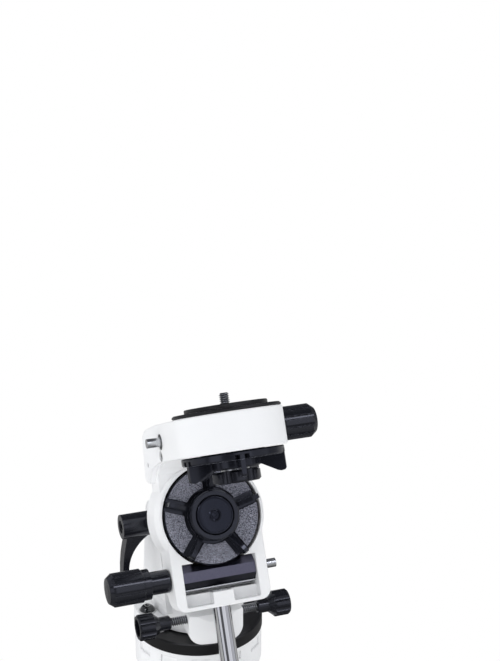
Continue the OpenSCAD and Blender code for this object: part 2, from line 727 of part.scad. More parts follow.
module head_blank() {
    rotate_extrude() polygon([[0, head_back], [drum_r - 1.5, head_back], [drum_r, head_back + 1.5],
        [drum_r, head_w - 7], [ring_r + 0.4, head_w - 2], [ring_r, head_w - 0.6], [ring_r - 0.6, head_w], [0, head_w]]);
    intersection() {
        translate([0, 0, head_back + 6]) linear_extrude(head_w - head_back - 6) skirt_outline();
        rotate([0, -90, 0]) linear_extrude(2 * drum_r, center = true) polygon([[head_back + 6, 0],
            [head_back + 6, -skirt_drop + 13], [head_back + 13, -skirt_drop + 2], [head_back + 17, -skirt_drop],
            [head_w - 1, -skirt_drop], [head_w, -skirt_drop + 1], [head_w, 0]]);
    }
    // the bracket's middle runs down into the drum, its flared sides end above it
    rotate([0, -90, 0]) linear_extrude(2 * dec_side - 7, center = true) bracket_outline([[head_w + 22, dec_low],
        [head_w + 11, dec_low - 2.6], [head_w + 3, dec_low - 4.6], [head_w - 2, dec_low - 8], [head_w - 4, dec_low - 14],
        [head_w - 4, 0], [head_back + 4.5, 0]]);
    rotate([0, -90, 0]) linear_extrude(2 * dec_side, center = true) bracket_outline([[head_w + 32, dec_low],
        [head_w + 17, dec_low - 0.7], [head_w + 5, dec_low - 2.2], [head_w - 3, dec_low - 4.6], [head_w - 12, dec_low - 13],
        [head_w - 18, dec_low - 12]]);
    translate([0, dec_low, dec_w]) rotate([-90, 0, 0]) rotate_extrude() polygon([[0, 0], [dec_drum_r - 0.8, 0],
        [dec_drum_r, 0.8], [dec_drum_r, dec_h - 0.8], [dec_drum_r - 0.8, dec_h], [0, dec_h]]);
}

module head_casting() {
    dec_cavity = cavity_r;
    color("white") polar() difference() {
        head_blank();
        // polar wheel, clutch knob and bush
        translate([0, 0, wheel_back - collar_t - 1]) cylinder(r = cavity_r, h = 40);
        translate([0, 0, head_back - 1]) cylinder(r = shaft_r + bush_wall, h = 40);
        // worm window and the two pockets in its sill
        translate([-window_half, -sill, head_w - 19]) cube([2 * window_half, sill - window_top, 30]);
        for (side = [-1, 1]) translate([side * (window_half + pad_half) / 2, -(sill + window_low) / 2, head_w - 8])
            linear_extrude(20) round_rect(window_half - pad_half, window_low - sill + 3, 1.2);
        translate([0, -worm_off, wheel_mid]) rod_x(-60, 60, worm_shaft_r + 0.5);
        translate([0, -skirt_drop - 1, wheel_mid]) rotate([-90, 0, 0]) cylinder(r = bar_r, h = skirt_drop - bar_top + 1.5);
        for (side = [-1, 1]) translate([side * 18, -worm_off, head_back + 4]) cylinder(r = 2 + fit, h = 12);
        // declination wheel, clutch knob and bush
        translate([0, dec_low - 1, dec_w]) rotate([-90, 0, 0]) cylinder(r = dec_cavity, h = dec_roof - dec_low + 1);
        translate([0, dec_low, dec_w]) rotate([-90, 0, 0]) cylinder(r = shaft_r + bush_wall, h = 40);
        // declination worm channel
        translate([0, dec_mid, dec_w - worm_off]) {
            rod_x(-carrier_half - 0.3, 60, 8);
            rod_x(-60, 60, worm_shaft_r + 1.6);
        }
        // set screw hole and vent hole in the left side
        translate([-dec_side - 1, dec_mid - 9, dec_w - worm_off - 3]) rod_x(0, 7, 3.5);
        translate([-dec_side - 1, dec_mid - 13.3, head_back + 16]) rod_x(0, 6, 1.5);
    }
}

module polar_bush() {
    color("#caa55a") polar() ring(shaft_r + bush_wall, shaft_r + fit, head_back, wheel_back - collar_t - 1);
}

// The black carrier that holds the polar worm, open on the side of the wheel
module worm_carrier() {
    color("#17181b") polar() translate([0, -worm_off, wheel_mid]) difference() {
        rotate([0, 90, 0]) rotate([0, 0, 22.5])
            cylinder(r = carrier_w / 2 / cos(22.5), h = 2 * carrier_half, center = true, $fn = 8);
        rod_x(-worm_thread_half - 4, worm_thread_half + 4, worm_r + addendum + 0.4);
        rod_x(-60, 60, worm_shaft_r + 2);
        translate([0, worm_off, -wheel_w / 2 - 0.4]) cylinder(r = cavity_r - 0.2, h = wheel_w + 0.8);
        translate([0, worm_off, bar_back - disc_t - free]) cylinder(r = clutch_r + free, h = 20);
        for (side = [-1, 1]) translate([side * 18, 0, -carrier_w]) cylinder(r = 2, h = carrier_w - 5.2);
    }
}

module carrier_spring() {
    color("silver") polar() translate([-carrier_half, -worm_off - carrier_w / 2 - 0.8, wheel_mid - 4])
        cube([2 * carrier_half, 0.8, 8]);
}

module carrier_screws() {
    color("silver") polar() for (side = [-1, 1]) translate([side * 18, -worm_off, head_back + 6]) difference() {
        union() {
            cylinder(r = 2, h = wheel_mid - worm_shaft_r - 2 - face_gap - head_back - 6);
            translate([0, 0, -2.4]) cylinder(r = 3.5, h = 2.4);
        }
        translate([0, 0, -3]) cylinder(r = 1.6, h = 2, $fn = 6);
    }
}

module worm_bush_pair() {
    for (side = [-1, 1]) translate([side * (carrier_half - 3), 0, 0]) difference() {
        rod_x(-3, 3, worm_shaft_r + 2);
        rod_x(-5, 5, worm_shaft_r + fit);
    }
}

module worm_bushes() {
    color("#caa55a") polar() translate([0, -worm_off, wheel_mid]) worm_bush_pair();
}

module polar_worm() {
    color("silver") polar() translate([0, -worm_off, wheel_mid]) rotate([0, 90, 0])
        worm(skirt_half + sleeve_len + 8, skirt_half, 90);
}

module polar_slow_knob() {
    color("#1b1c1e") polar() translate([-skirt_half - 0.5, -worm_off, wheel_mid]) rotate([0, -90, 0])
        slow_knob(sleeve_len);
}

// ---------- declination head ----------
module dec_bush() {
    color("#caa55a") dec() ring(shaft_r + bush_wall, shaft_r + fit, dec_roof, dec_high);
}

module dec_worm_carrier() {
    color("#17181b") dec() translate([0, worm_off, dec_mid]) difference() {
        rod_x(-carrier_half, carrier_half, 8);
        rod_x(-worm_thread_half - 4, worm_thread_half + 4, worm_r + addendum + 0.4);
        rod_x(-60, 60, worm_shaft_r + 2);
        translate([0, -worm_off, -wheel_w / 2 - 0.4]) cylinder(r = cavity_r, h = wheel_w + 0.8);
        translate([0, -worm_off, -20]) cylinder(r = cavity_r, h = 40);
    }
}

module dec_worm_bushes() {
    color("#caa55a") dec() translate([0, worm_off, dec_mid]) worm_bush_pair();
}

module dec_worm() {
    color("silver") dec() translate([0, worm_off, dec_mid]) rotate([0, 90, 0])
        worm(-dec_side - dec_sleeve_len - 8, -dec_side, -90);
}

module dec_slow_knob() {
    color("#1b1c1e") dec() translate([dec_side + 0.5, worm_off, dec_mid]) rotate([0, 90, 0])
        slow_knob(dec_sleeve_len);
}

module dec_wheel() {
    color("#b8924a") dec() translate([0, 0, dec_mid]) worm_wheel(neck_r + fit, 90);
}

module dec_shaft() {
    shoulder = dec_mid + wheel_w / 2 + face_gap + 1.6;
    low = dec_disc_low - dec_hub_h + 0.5;
    bore = telescope_screw_r + 0.3;
    color("silver") dec() rotate_extrude() polygon([[bore, low], [neck_r, low], [neck_r, shoulder], [shaft_r, shoulder],
        [shaft_r, dec_high + face_gap], [top_flange_r, dec_high + face_gap], [top_flange_r, platform_z],
        [bore, platform_z]]);
}

module dec_collar() {
    back = dec_mid + wheel_w / 2 + face_gap;
    color("silver") dec() ring(collar_r, neck_r, back, back + 1.6);
}

module dec_circle() {
    z = dec_high + free;
    bore = top_flange_r + fit;
    color("#202224") dec() rotate_extrude() polygon([[bore, z], [circle_r - 0.4, z], [circle_r, z + 0.4],
        [circle_r, z + circle_t - 1], [circle_r - 1, z + circle_t], [bore, z + circle_t]]);
}

module telescope_platform() {
    color("#202224") dec() difference() {
        rotate_extrude() polygon([[telescope_screw_r + 0.3, platform_z], [platform_r, platform_z],
            [platform_r, platform_z + platform_t - 0.5], [platform_r - 0.5, platform_z + platform_t],
            [telescope_screw_r + 0.3, platform_z + platform_t]]);
        for (i = [0:2]) rotate(30 + i * 120) translate([15, 0, platform_z - 1]) {
            cylinder(r = 1.5 + fit, h = 9);
            translate([0, 0, 1.8]) cylinder(r = 3.2, h = 9);
        }
    }
}

module platform_screws() {
    color("#3a3c40") dec() for (i = [0:2]) rotate(30 + i * 120) translate([15, 0, platform_z]) difference() {
        union() {
            cylinder(r = 1.5, h = 1);
            translate([0, 0, 0.8]) cylinder(r = 3, h = 1.6);
        }
        translate([0, 0, 1.4]) cylinder(r = 1.4, h = 3, $fn = 6);
    }
}

module dec_clutch_knob() {
    top = dec_mid - wheel_w / 2 - face_gap;
    color("#1e1f22") dec() translate([0, 0, dec_disc_low]) rotate([180, 0, 0])
        clutch_knob(top - dec_disc_low - disc_t, neck_r + fit, dec_hub_h, 97);
}

module telescope_washer() {
    color("silver") dec() ring(9, telescope_screw_r + fit, knob_top + face_gap, knob_top + face_gap + 0.9);
}

// A captive screw: full thickness in the washer, a thinner waist, and a threaded end above the platform
module telescope_screw() {
    r = telescope_screw_r;
    face = platform_z + platform_t;
    color("silver") dec() rotate_extrude() polygon([[0, knob_top - 5], [r, knob_top - 5], [r, knob_top + 3],
        [r - 0.5, knob_top + 3.5], [r - 0.5, face], [r, face], [r, face + 6.5], [r - 0.8, face + 7.3], [0, face + 7.3]]);
}

module telescope_knob() {
    lobes = 6;
    r = 15.4;
    color("#1b1c1e") dec() translate([0, 0, knob_top - knob_t]) difference() {
        rotate_extrude() polygon([[0, 0], [r - 1.4, 0], [r, 1.2], [r, knob_t - 1.2], [r - 1.4, knob_t], [0, knob_t]]);
        for (i = [0:lobes - 1]) rotate(52 + i * 360 / lobes) translate([r + 1, 0, -1]) cylinder(r = 3.6, h = knob_t + 2);
        translate([0, 0, knob_t - 5]) cylinder(r = telescope_screw_r, h = 6);
        translate([0, 0, -1]) cylinder(r = 6, h = 2.4);
    }
}

// ---------- counterweight ----------
module counterweight_bar() {
    color("#e4e6e8") polar() translate([0, 0, wheel_mid]) rotate([90, 0, 0])
        translate([0, 0, bar_top]) rotate_extrude() polygon([[0, 0], [bar_r, 0], [bar_r, skirt_drop - bar_top + bar_len],
            [4, skirt_drop - bar_top + bar_len], [4, skirt_drop - bar_top + bar_len + 8], [0, skirt_drop - bar_top + bar_len + 8]]);
}

module bar_stop() {
    color("#1b1c1e") polar() translate([0, 0, wheel_mid]) rotate([90, 0, 0]) translate([0, 0, skirt_drop + bar_len])
        difference() {
            rotate_extrude() polygon([[0, 0], [10, 0], [11, 1], [11, 9], [9.5, 10.5], [0, 10.5]]);
            translate([0, 0, -1]) cylinder(r = 4, h = 9);
            for (i = [0:17]) rotate(i * 20) translate([11.5, 0, 1.5]) cylinder(r = 0.9, h = 7);
        }
}

module counterweight() {
    color("#26282b") polar() translate([0, 0, wheel_mid]) rotate([90, 0, 0]) translate([0, 0, weight_top]) difference() {
        rotate_extrude() polygon([[bar_r + fit, 0], [weight_r - 2, 0], [weight_r - 0.6, 0.6], [weight_r, 2],
            [weight_r, weight_h - 2], [weight_r - 0.6, weight_h - 0.6], [weight_r - 2, weight_h],
            [bar_r + fit, weight_h]]);
        translate([0, 0, weight_h / 2]) rotate([-90, 0, 0]) cylinder(r = 4 + fit, h = 60);
    }
}

module weight_lock() {
    lobes = 6;
    color("#1b1c1e") polar() translate([0, 0, wheel_mid]) rotate([90, 0, 0]) translate([0, 0, weight_top + weight_h / 2])
        rotate([-90, 0, 0]) {
            translate([0, 0, bar_r + 0.4]) cylinder(r = 4, h = weight_r - bar_r + 2);
            translate([0, 0, weight_r + 1]) difference() {
                rotate_extrude() polygon([[0, 0], [7, 0], [11, 3], [12, 4.5], [12, 11], [10.5, 12.5], [0, 12.5]]);
                for (i = [0:lobes - 1]) rotate(i * 360 / lobes) translate([14, 0, -1]) cylinder(r = 4.2, h = 16);
            }
        }
}

foot();
azimuth_plate();
plate_screws();
azimuth_peg();
turret();
azimuth_hub();
hub_nut();
level_ring();
level_vial();
altitude_bolt();
altitude_bolt_cap();
latitude_pointer();
left_azimuth_tip();
left_azimuth_screw();
left_azimuth_knob();
right_azimuth_tip();
right_azimuth_screw();
right_azimuth_knob();
altitude_pad();
altitude_screw();
altitude_handle();
altitude_lever();
lever_cap();
polar_housing();
polar_cap();
latitude_scale();
polar_shaft();
shaft_screws();
polar_circle();
polar_collar();
polar_wheel();
polar_clutch_knob();
polar_clutch_cap();
head_casting();
polar_bush();
worm_carrier();
carrier_spring();
carrier_screws();
worm_bushes();
polar_worm();
polar_slow_knob();
dec_bush();
dec_worm_carrier();
dec_worm_bushes();
dec_worm();
dec_slow_knob();
dec_wheel();
dec_shaft();
dec_collar();
dec_circle();
telescope_platform();
platform_screws();
dec_clutch_knob();
telescope_washer();
telescope_screw();
telescope_knob();
counterweight_bar();
bar_stop();
counterweight();
weight_lock();
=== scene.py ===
import bpy
import json
import math
from mathutils import Matrix, Vector


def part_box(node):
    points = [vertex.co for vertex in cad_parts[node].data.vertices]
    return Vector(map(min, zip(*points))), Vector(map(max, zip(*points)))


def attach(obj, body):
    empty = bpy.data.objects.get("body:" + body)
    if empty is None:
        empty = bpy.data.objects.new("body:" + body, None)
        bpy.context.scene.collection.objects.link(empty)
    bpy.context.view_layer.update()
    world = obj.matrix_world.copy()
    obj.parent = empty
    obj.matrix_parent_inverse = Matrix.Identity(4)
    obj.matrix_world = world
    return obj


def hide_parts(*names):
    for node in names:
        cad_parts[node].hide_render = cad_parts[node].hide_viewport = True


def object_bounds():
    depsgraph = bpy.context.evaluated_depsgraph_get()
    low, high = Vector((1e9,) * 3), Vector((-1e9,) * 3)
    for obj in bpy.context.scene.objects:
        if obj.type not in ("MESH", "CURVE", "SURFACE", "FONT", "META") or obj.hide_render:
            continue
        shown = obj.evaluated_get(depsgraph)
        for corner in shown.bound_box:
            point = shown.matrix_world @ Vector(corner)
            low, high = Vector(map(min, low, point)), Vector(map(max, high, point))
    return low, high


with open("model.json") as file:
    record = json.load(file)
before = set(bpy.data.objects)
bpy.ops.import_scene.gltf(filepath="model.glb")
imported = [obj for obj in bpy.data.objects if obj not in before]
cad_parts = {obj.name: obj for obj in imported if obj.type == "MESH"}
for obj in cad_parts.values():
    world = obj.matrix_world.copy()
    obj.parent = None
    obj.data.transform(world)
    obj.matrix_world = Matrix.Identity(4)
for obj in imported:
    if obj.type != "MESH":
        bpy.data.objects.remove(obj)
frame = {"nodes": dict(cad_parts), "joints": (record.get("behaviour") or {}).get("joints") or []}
cad_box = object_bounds()
bpy.ops.object.select_all(action="DESELECT")

# ---- Studio ----
# A white paper sweep, soft boxes from the upper left, the right and above, low reflectors in front
# and on the left, and a strip behind. The camera stands in front, to the left and above the mount,
# with a short telephoto lens.
def node(mat, kind, inputs=None, **settings):
    """Adds a node. A socket among the inputs is linked, and any other value is set."""
    made = mat.node_tree.nodes.new(kind)
    for name, value in settings.items():
        setattr(made, name, value)
    for name, value in (inputs or {}).items():
        if isinstance(value, bpy.types.NodeSocket):
            mat.node_tree.links.new(value, made.inputs[name])
        else:
            made.inputs[name].default_value = value
    return made


def linear(code):
    """An sRGB hex colour in the linear values that a shader takes."""
    parts = [int(code[i:i + 2], 16) / 255 for i in (1, 3, 5)]
    return tuple(c / 12.92 if c <= 0.04045 else ((c + 0.055) / 1.055) ** 2.4 for c in parts) + (1.0,)


def empty_material(name):
    """A material with no nodes yet."""
    made = bpy.data.materials.new(name)
    made.use_nodes = True
    made.node_tree.nodes.clear()
    return made


scene = bpy.context.scene
scene.view_settings.view_transform = "Standard"

camera_place = (-0.3123, -0.9829, 0.6432)
back = Vector((-0.3122, -0.8769, 0.3655)).normalized()  # from the mount to the camera
right = Vector((0.9421, -0.3355, 0.0))
right = (right - right.dot(back) * back).normalized()
up = back.cross(right)
camera = bpy.data.objects.new("camera", bpy.data.cameras.new("camera"))
camera.matrix_world = Matrix.Translation(camera_place) @ Matrix((right, up, back)).transposed().to_4x4()
camera.data.sensor_fit = "VERTICAL"
camera.data.sensor_height = 24
camera.data.lens = 62.83
camera.data.clip_start = 0.01
camera.data.clip_end = 50
scene.collection.objects.link(camera)
scene.camera = camera

mount_middle = Vector((0, -0.04, 0.12))
for name, place, width, height, power in (
        ("key_softbox", (-1.0, -1.0, 1.35), 0.9, 0.9, 6.0),
        ("fill_softbox", (1.3, -0.8, 0.6), 0.4, 1.2, 2.5),
        ("low_front_reflector", (-0.45, -1.4, 0.05), 1.0, 0.5, 1.3),
        ("left_reflector", (-1.3, 0.7, 0.1), 1.2, 1.2, 4.0),
        ("top_softbox", (0.1, 0.1, 1.8), 0.8, 0.8, 6.0),
        ("rim_strip", (0.3, 1.3, 1.1), 1.2, 0.4, 7.0)):
    lamp = bpy.data.objects.new(name, bpy.data.lights.new(name, "AREA"))
    lamp.data.shape = "RECTANGLE"
    lamp.data.size = width
    lamp.data.size_y = height
    lamp.data.energy = power
    lamp.location = place
    lamp.rotation_euler = (Vector(place) - mount_middle).to_track_quat("Z", "Y").to_euler()
    lamp.visible_glossy = False  # the panels below stand for the lamps in reflections
    scene.collection.objects.link(lamp)

# In reflections the room is dim, with lit panels, so that metal and gloss show bright bands with
# dark edges. Each panel is given by its middle and half size, as bearing and height in degrees, and
# by its strength.
world = bpy.data.worlds.new("studio")
world.use_nodes = True
world.node_tree.nodes.clear()
path = node(world, "ShaderNodeLightPath")
gaze = node(world, "ShaderNodeTexCoord").outputs["Generated"]
split = node(world, "ShaderNodeSeparateXYZ", {0: gaze})
level = node(world, "ShaderNodeMapRange", {"Value": split.outputs["Z"], "From Min": -0.2, "From Max": 0.9,
                                           "To Min": 0.8, "To Max": 0.66})
room = node(world, "ShaderNodeBackground", {"Color": linear("#E4E6EA"), "Strength": level.outputs[0]})
rise = node(world, "ShaderNodeMath", {0: split.outputs["Z"]}, operation="ARCSINE").outputs[0]
flat = node(world, "ShaderNodeCombineXYZ", {"X": split.outputs["X"], "Y": split.outputs["Y"]})
level_gaze = node(world, "ShaderNodeVectorMath", {0: flat.outputs[0]}, operation="NORMALIZE").outputs[0]
shine = 0.13  # the dim room between the panels
for bearing, half_width, height, half_height, strength in (
        (150, 38, 10, 50, 0.45), (-149, 13, 26, 24, 0.8), (-84, 20, 27, 21, 0.85), (-44, 22, 24, 24, 0.5),
        (0, 26, 20, 34, 0.2), (-72, 48, 50, 3.5, 7.0), (-150, 14, 48, 7, 5.0), (20, 30, 50, 5, 2.0)):
    centre = tuple(Vector((math.cos(math.radians(bearing)), math.sin(math.radians(bearing)), 0)))
    facing = node(world, "ShaderNodeVectorMath", {0: level_gaze, 1: centre}, operation="DOT_PRODUCT").outputs["Value"]
    across = node(world, "ShaderNodeMapRange", {"Value": facing, "From Min": math.cos(math.radians(half_width + 3)),
                  "From Max": math.cos(math.radians(half_width - 2))}, interpolation_type="SMOOTHSTEP")
    off = node(world, "ShaderNodeMath", {0: rise, 1: math.radians(height)}, operation="SUBTRACT")
    away = node(world, "ShaderNodeMath", {0: off.outputs[0]}, operation="ABSOLUTE")
    upright = node(world, "ShaderNodeMapRange", {"Value": away.outputs[0], "From Min": math.radians(half_height + 2),
                   "From Max": math.radians(half_height - 2)}, interpolation_type="SMOOTHSTEP")
    panel = node(world, "ShaderNodeMath", {0: across.outputs[0], 1: upright.outputs[0]}, operation="MULTIPLY")
    shine = node(world, "ShaderNodeMath", {0: panel.outputs[0], 1: strength, 2: shine},
                 operation="MULTIPLY_ADD").outputs[0]
mirrored = node(world, "ShaderNodeBackground", {"Color": linear("#E9EAF2"), "Strength": shine})
lit = node(world, "ShaderNodeMixShader", {0: path.outputs["Is Glossy Ray"], 1: room.outputs[0],
                                          2: mirrored.outputs[0]})
white = node(world, "ShaderNodeBackground", {"Color": (1, 1, 1, 1), "Strength": 1.0})
mixed = node(world, "ShaderNodeMixShader", {0: path.outputs["Is Camera Ray"], 1: lit.outputs[0], 2: white.outputs[0]})
node(world, "ShaderNodeOutputWorld", {"Surface": mixed.outputs[0]})
scene.world = world

# The paper lies 2 mm under the lowest piece. It glows white to the camera, and softly to the mount.
bpy.ops.mesh.primitive_plane_add(size=6, location=(0, 0, cad_box[0][2] - 0.002))
floor = bpy.context.object
floor.name = "floor"
bpy.ops.object.transform_apply(location=True)
paper = empty_material("paper_floor")
path = node(paper, "ShaderNodeLightPath")
card = node(paper, "ShaderNodeBsdfDiffuse", {"Color": linear("#EAEAEA")})
backlight = node(paper, "ShaderNodeEmission", {"Color": (1, 1, 1, 1), "Strength": 0.42})
sweep = node(paper, "ShaderNodeAddShader", {0: card.outputs[0], 1: backlight.outputs[0]})
spot = node(paper, "ShaderNodeTexCoord").outputs["Object"]
far = node(paper, "ShaderNodeVectorMath", {0: spot}, operation="LENGTH").outputs["Value"]
fade = node(paper, "ShaderNodeMapRange", {"Value": far, "From Min": 0.14, "From Max": 0.6,
                                          "To Min": 0.1, "To Max": 0.5})
sheen = node(paper, "ShaderNodeEmission", {"Color": (1, 1, 1, 1), "Strength": fade.outputs[0]})
glow = node(paper, "ShaderNodeEmission", {"Color": (1, 1, 1, 1), "Strength": 1.0})
lit = node(paper, "ShaderNodeMixShader", {0: path.outputs["Is Glossy Ray"], 1: sweep.outputs[0], 2: sheen.outputs[0]})
mixed = node(paper, "ShaderNodeMixShader", {0: path.outputs["Is Camera Ray"], 1: lit.outputs[0], 2: glow.outputs[0]})
node(paper, "ShaderNodeOutputMaterial", {"Surface": mixed.outputs[0]})
floor.data.materials.append(paper)
bpy.ops.object.select_all(action="DESELECT")

# ---- Foot ----
# A die-cast aluminium ring, blasted and powder coated in satin white like the other castings. The
# coat flows over the edges, so they read as soft, and it leaves a faint orange peel.
def dress(name, material):
    """Gives a CAD piece its material."""
    slots = frame["nodes"][name].data.materials
    slots.clear()
    slots.append(material)


# The peel is 1.4 mm across. The coat is thicker and thinner over about 22 mm.
powder_coat = empty_material("powder_coated_casting")
place = node(powder_coat, "ShaderNodeTexCoord").outputs["Object"]
peel = node(powder_coat, "ShaderNodeTexNoise", {"Vector": place, "Scale": 700.0, "Detail": 2.0})
cloud = node(powder_coat, "ShaderNodeTexNoise", {"Vector": place, "Scale": 45.0, "Detail": 3.0})
tone = node(powder_coat, "ShaderNodeMix", {0: cloud.outputs["Fac"], 6: linear("#F5F6F7"), 7: linear("#FAFAFA")},
            data_type="RGBA")
satin = node(powder_coat, "ShaderNodeMapRange", {"Value": peel.outputs["Fac"], "To Min": 0.36, "To Max": 0.5})
soft_edge = node(powder_coat, "ShaderNodeBevel", {"Radius": 0.0008}, samples=4)
dimple = node(powder_coat, "ShaderNodeBump", {"Height": peel.outputs["Fac"], "Strength": 0.1, "Distance": 0.0001,
                                              "Normal": soft_edge.outputs[0]})
coat = node(powder_coat, "ShaderNodeBsdfPrincipled", {"Base Color": tone.outputs[2], "Roughness": satin.outputs[0],
                                                     "IOR": 1.5, "Normal": dimple.outputs[0]})
node(powder_coat, "ShaderNodeOutputMaterial", {"Surface": coat.outputs[0]})
dress("foot", powder_coat)

# ---- Azimuth plate ----
# A turned steel disc in satin black stoving enamel, bolted down on the foot. The turret slides on
# it. Both setting circles and the telescope platform have the same finish, with a 2 mm ripple.
black_enamel = empty_material("satin_black_enamel")
place = node(black_enamel, "ShaderNodeTexCoord").outputs["Object"]
mottle = node(black_enamel, "ShaderNodeTexNoise", {"Vector": place, "Scale": 500.0, "Detail": 3.0})
shade = node(black_enamel, "ShaderNodeMix", {0: mottle.outputs["Fac"], 6: linear("#0B0B0D"), 7: linear("#131316")},
             data_type="RGBA")
gloss = node(black_enamel, "ShaderNodeMapRange", {"Value": mottle.outputs["Fac"], "To Min": 0.34, "To Max": 0.5})
soft_edge = node(black_enamel, "ShaderNodeBevel", {"Radius": 0.0005}, samples=4)
dimple = node(black_enamel, "ShaderNodeBump", {"Height": mottle.outputs["Fac"], "Strength": 0.08, "Distance": 0.0001,
                                               "Normal": soft_edge.outputs[0]})
enamel = node(black_enamel, "ShaderNodeBsdfPrincipled", {"Base Color": shade.outputs[2],
                                                        "Roughness": gloss.outputs[0], "IOR": 1.52,
                                                        "Normal": dimple.outputs[0]})
node(black_enamel, "ShaderNodeOutputMaterial", {"Surface": enamel.outputs[0]})
for name in ("azimuth_plate", "polar_circle", "dec_circle", "telescope_platform"):
    dress(name, black_enamel)

# ---- Screws, peg, hub and nut ----
# The plate's screws, the azimuth peg, hub and nut, the polar shaft and the worms are turned from
# free-cutting steel, bright. The tool's grain is drawn at 0.7 mm, coarser than real.
bright_steel = empty_material("turned_bright_steel")
place = node(bright_steel, "ShaderNodeTexCoord").outputs["Object"]
grain = node(bright_steel, "ShaderNodeTexNoise", {"Vector": place, "Scale": 1500.0, "Detail": 2.0})
tone = node(bright_steel, "ShaderNodeMix", {0: grain.outputs["Fac"], 6: linear("#B4B6B9"), 7: linear("#D6D8DA")},
            data_type="RGBA")
sheen = node(bright_steel, "ShaderNodeMapRange", {"Value": grain.outputs["Fac"], "To Min": 0.16, "To Max": 0.3})
soft_edge = node(bright_steel, "ShaderNodeBevel", {"Radius": 0.0003}, samples=4)
metal = node(bright_steel, "ShaderNodeBsdfPrincipled", {"Base Color": tone.outputs[2], "Metallic": 1.0,
                                                       "Roughness": sheen.outputs[0], "Normal": soft_edge.outputs[0]})
node(bright_steel, "ShaderNodeOutputMaterial", {"Surface": metal.outputs[0]})
for name in ("plate_screws", "azimuth_peg", "azimuth_hub", "hub_nut", "altitude_bolt", "polar_shaft", "polar_collar",
             "carrier_spring", "carrier_screws", "polar_worm", "dec_worm", "dec_collar", "telescope_washer"):
    dress(name, bright_steel)

# The socket screws and the plug in the altitude lever are black oxide, a little patchy over 1.2 mm.
black_oxide = empty_material("black_oxide_steel")
place = node(black_oxide, "ShaderNodeTexCoord").outputs["Object"]
bloom = node(black_oxide, "ShaderNodeTexNoise", {"Vector": place, "Scale": 800.0, "Detail": 2.0})
tone = node(black_oxide, "ShaderNodeMix", {0: bloom.outputs["Fac"], 6: linear("#1B1C1F"), 7: linear("#34363B")},
            data_type="RGBA")
metal = node(black_oxide, "ShaderNodeBsdfPrincipled", {"Base Color": tone.outputs[2], "Metallic": 1.0,
                                                      "Roughness": 0.38})
node(black_oxide, "ShaderNodeOutputMaterial", {"Surface": metal.outputs[0]})
for name in ("shaft_screws", "platform_screws", "lever_cap"):
    dress(name, black_oxide)

# ---- Thread of the tripod hole ----
# An M10 thread cut in the hub from below, 1.5 mm pitch. A three-cornered ridge is wound up the
# bore and sunk a little into its wall.
def wind(name, corners, pitch, turns, steps):
    """A closed profile of three or four (radius, height) corners, wound about Z and closed at both ends."""
    bpy.ops.mesh.primitive_circle_add(vertices=len(corners), radius=0.01, fill_type="NOTHING")
    ridge = bpy.context.object
    ridge.name = name
    for vertex, (radius, height) in zip(ridge.data.vertices, corners):
        vertex.co = (radius, 0, height)
    screw = ridge.modifiers.new("winding", "SCREW")
    screw.axis = "Z"
    screw.angle = 2 * math.pi
    screw.screw_offset = pitch
    screw.iterations = turns
    screw.steps = screw.render_steps = steps
    bpy.ops.object.modifier_apply(modifier="winding")
    bpy.ops.object.mode_set(mode="EDIT")
    bpy.ops.mesh.select_all(action="SELECT")
    bpy.ops.mesh.remove_doubles(threshold=1e-6)
    bpy.ops.mesh.fill_holes(sides=len(corners))
    bpy.ops.mesh.normals_make_consistent(inside=False)
    bpy.ops.object.mode_set(mode="OBJECT")
    return ridge


root_r, crest_r, pitch = 0.00505, 0.0043, 0.0015
ridge = wind("tripod_thread", [(root_r, -0.0007), (root_r, 0.0007), (crest_r, 0)], pitch, turns=18, steps=36)
ridge.data.transform(Matrix.Translation((0, 0, 0.001)))
ridge.data.materials.append(bright_steel)
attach(ridge, "turret")
bpy.ops.object.select_all(action="DESELECT")

# ---- Turret and bubble level ----
# The turret is cast with its fork, front block and lobe, and coated like the foot. The level is a
# domed acrylic vial with a dark liquid, in a light ring pressed into the lobe.
dress("turret", powder_coat)

# The liquid looks almost black, uneven over 8 mm, under a clear and very glossy skin.
vial_glass = empty_material("dark_liquid_vial")
place = node(vial_glass, "ShaderNodeTexCoord").outputs["Object"]
depth = node(vial_glass, "ShaderNodeTexNoise", {"Vector": place, "Scale": 120.0, "Detail": 1.0})
tone = node(vial_glass, "ShaderNodeMix", {0: depth.outputs["Fac"], 6: linear("#0B0D0E"), 7: linear("#1A2124")},
            data_type="RGBA")
dome = node(vial_glass, "ShaderNodeBsdfPrincipled", {"Base Color": tone.outputs[2], "Roughness": 0.04, "IOR": 1.49,
                                                    "Coat Weight": 1.0, "Coat Roughness": 0.02})
node(vial_glass, "ShaderNodeOutputMaterial", {"Surface": dome.outputs[0]})

# Moulded acetal is smooth, with faint flow marks 2.5 mm across.
light_acetal = empty_material("moulded_light_acetal")
place = node(light_acetal, "ShaderNodeTexCoord").outputs["Object"]
flow = node(light_acetal, "ShaderNodeTexNoise", {"Vector": place, "Scale": 400.0})
tone = node(light_acetal, "ShaderNodeMix", {0: flow.outputs["Fac"], 6: linear("#C9CACB"), 7: linear("#D8D8D8")},
            data_type="RGBA")
rim = node(light_acetal, "ShaderNodeBsdfPrincipled", {"Base Color": tone.outputs[2], "Roughness": 0.3, "IOR": 1.48})
node(light_acetal, "ShaderNodeOutputMaterial", {"Surface": rim.outputs[0]})


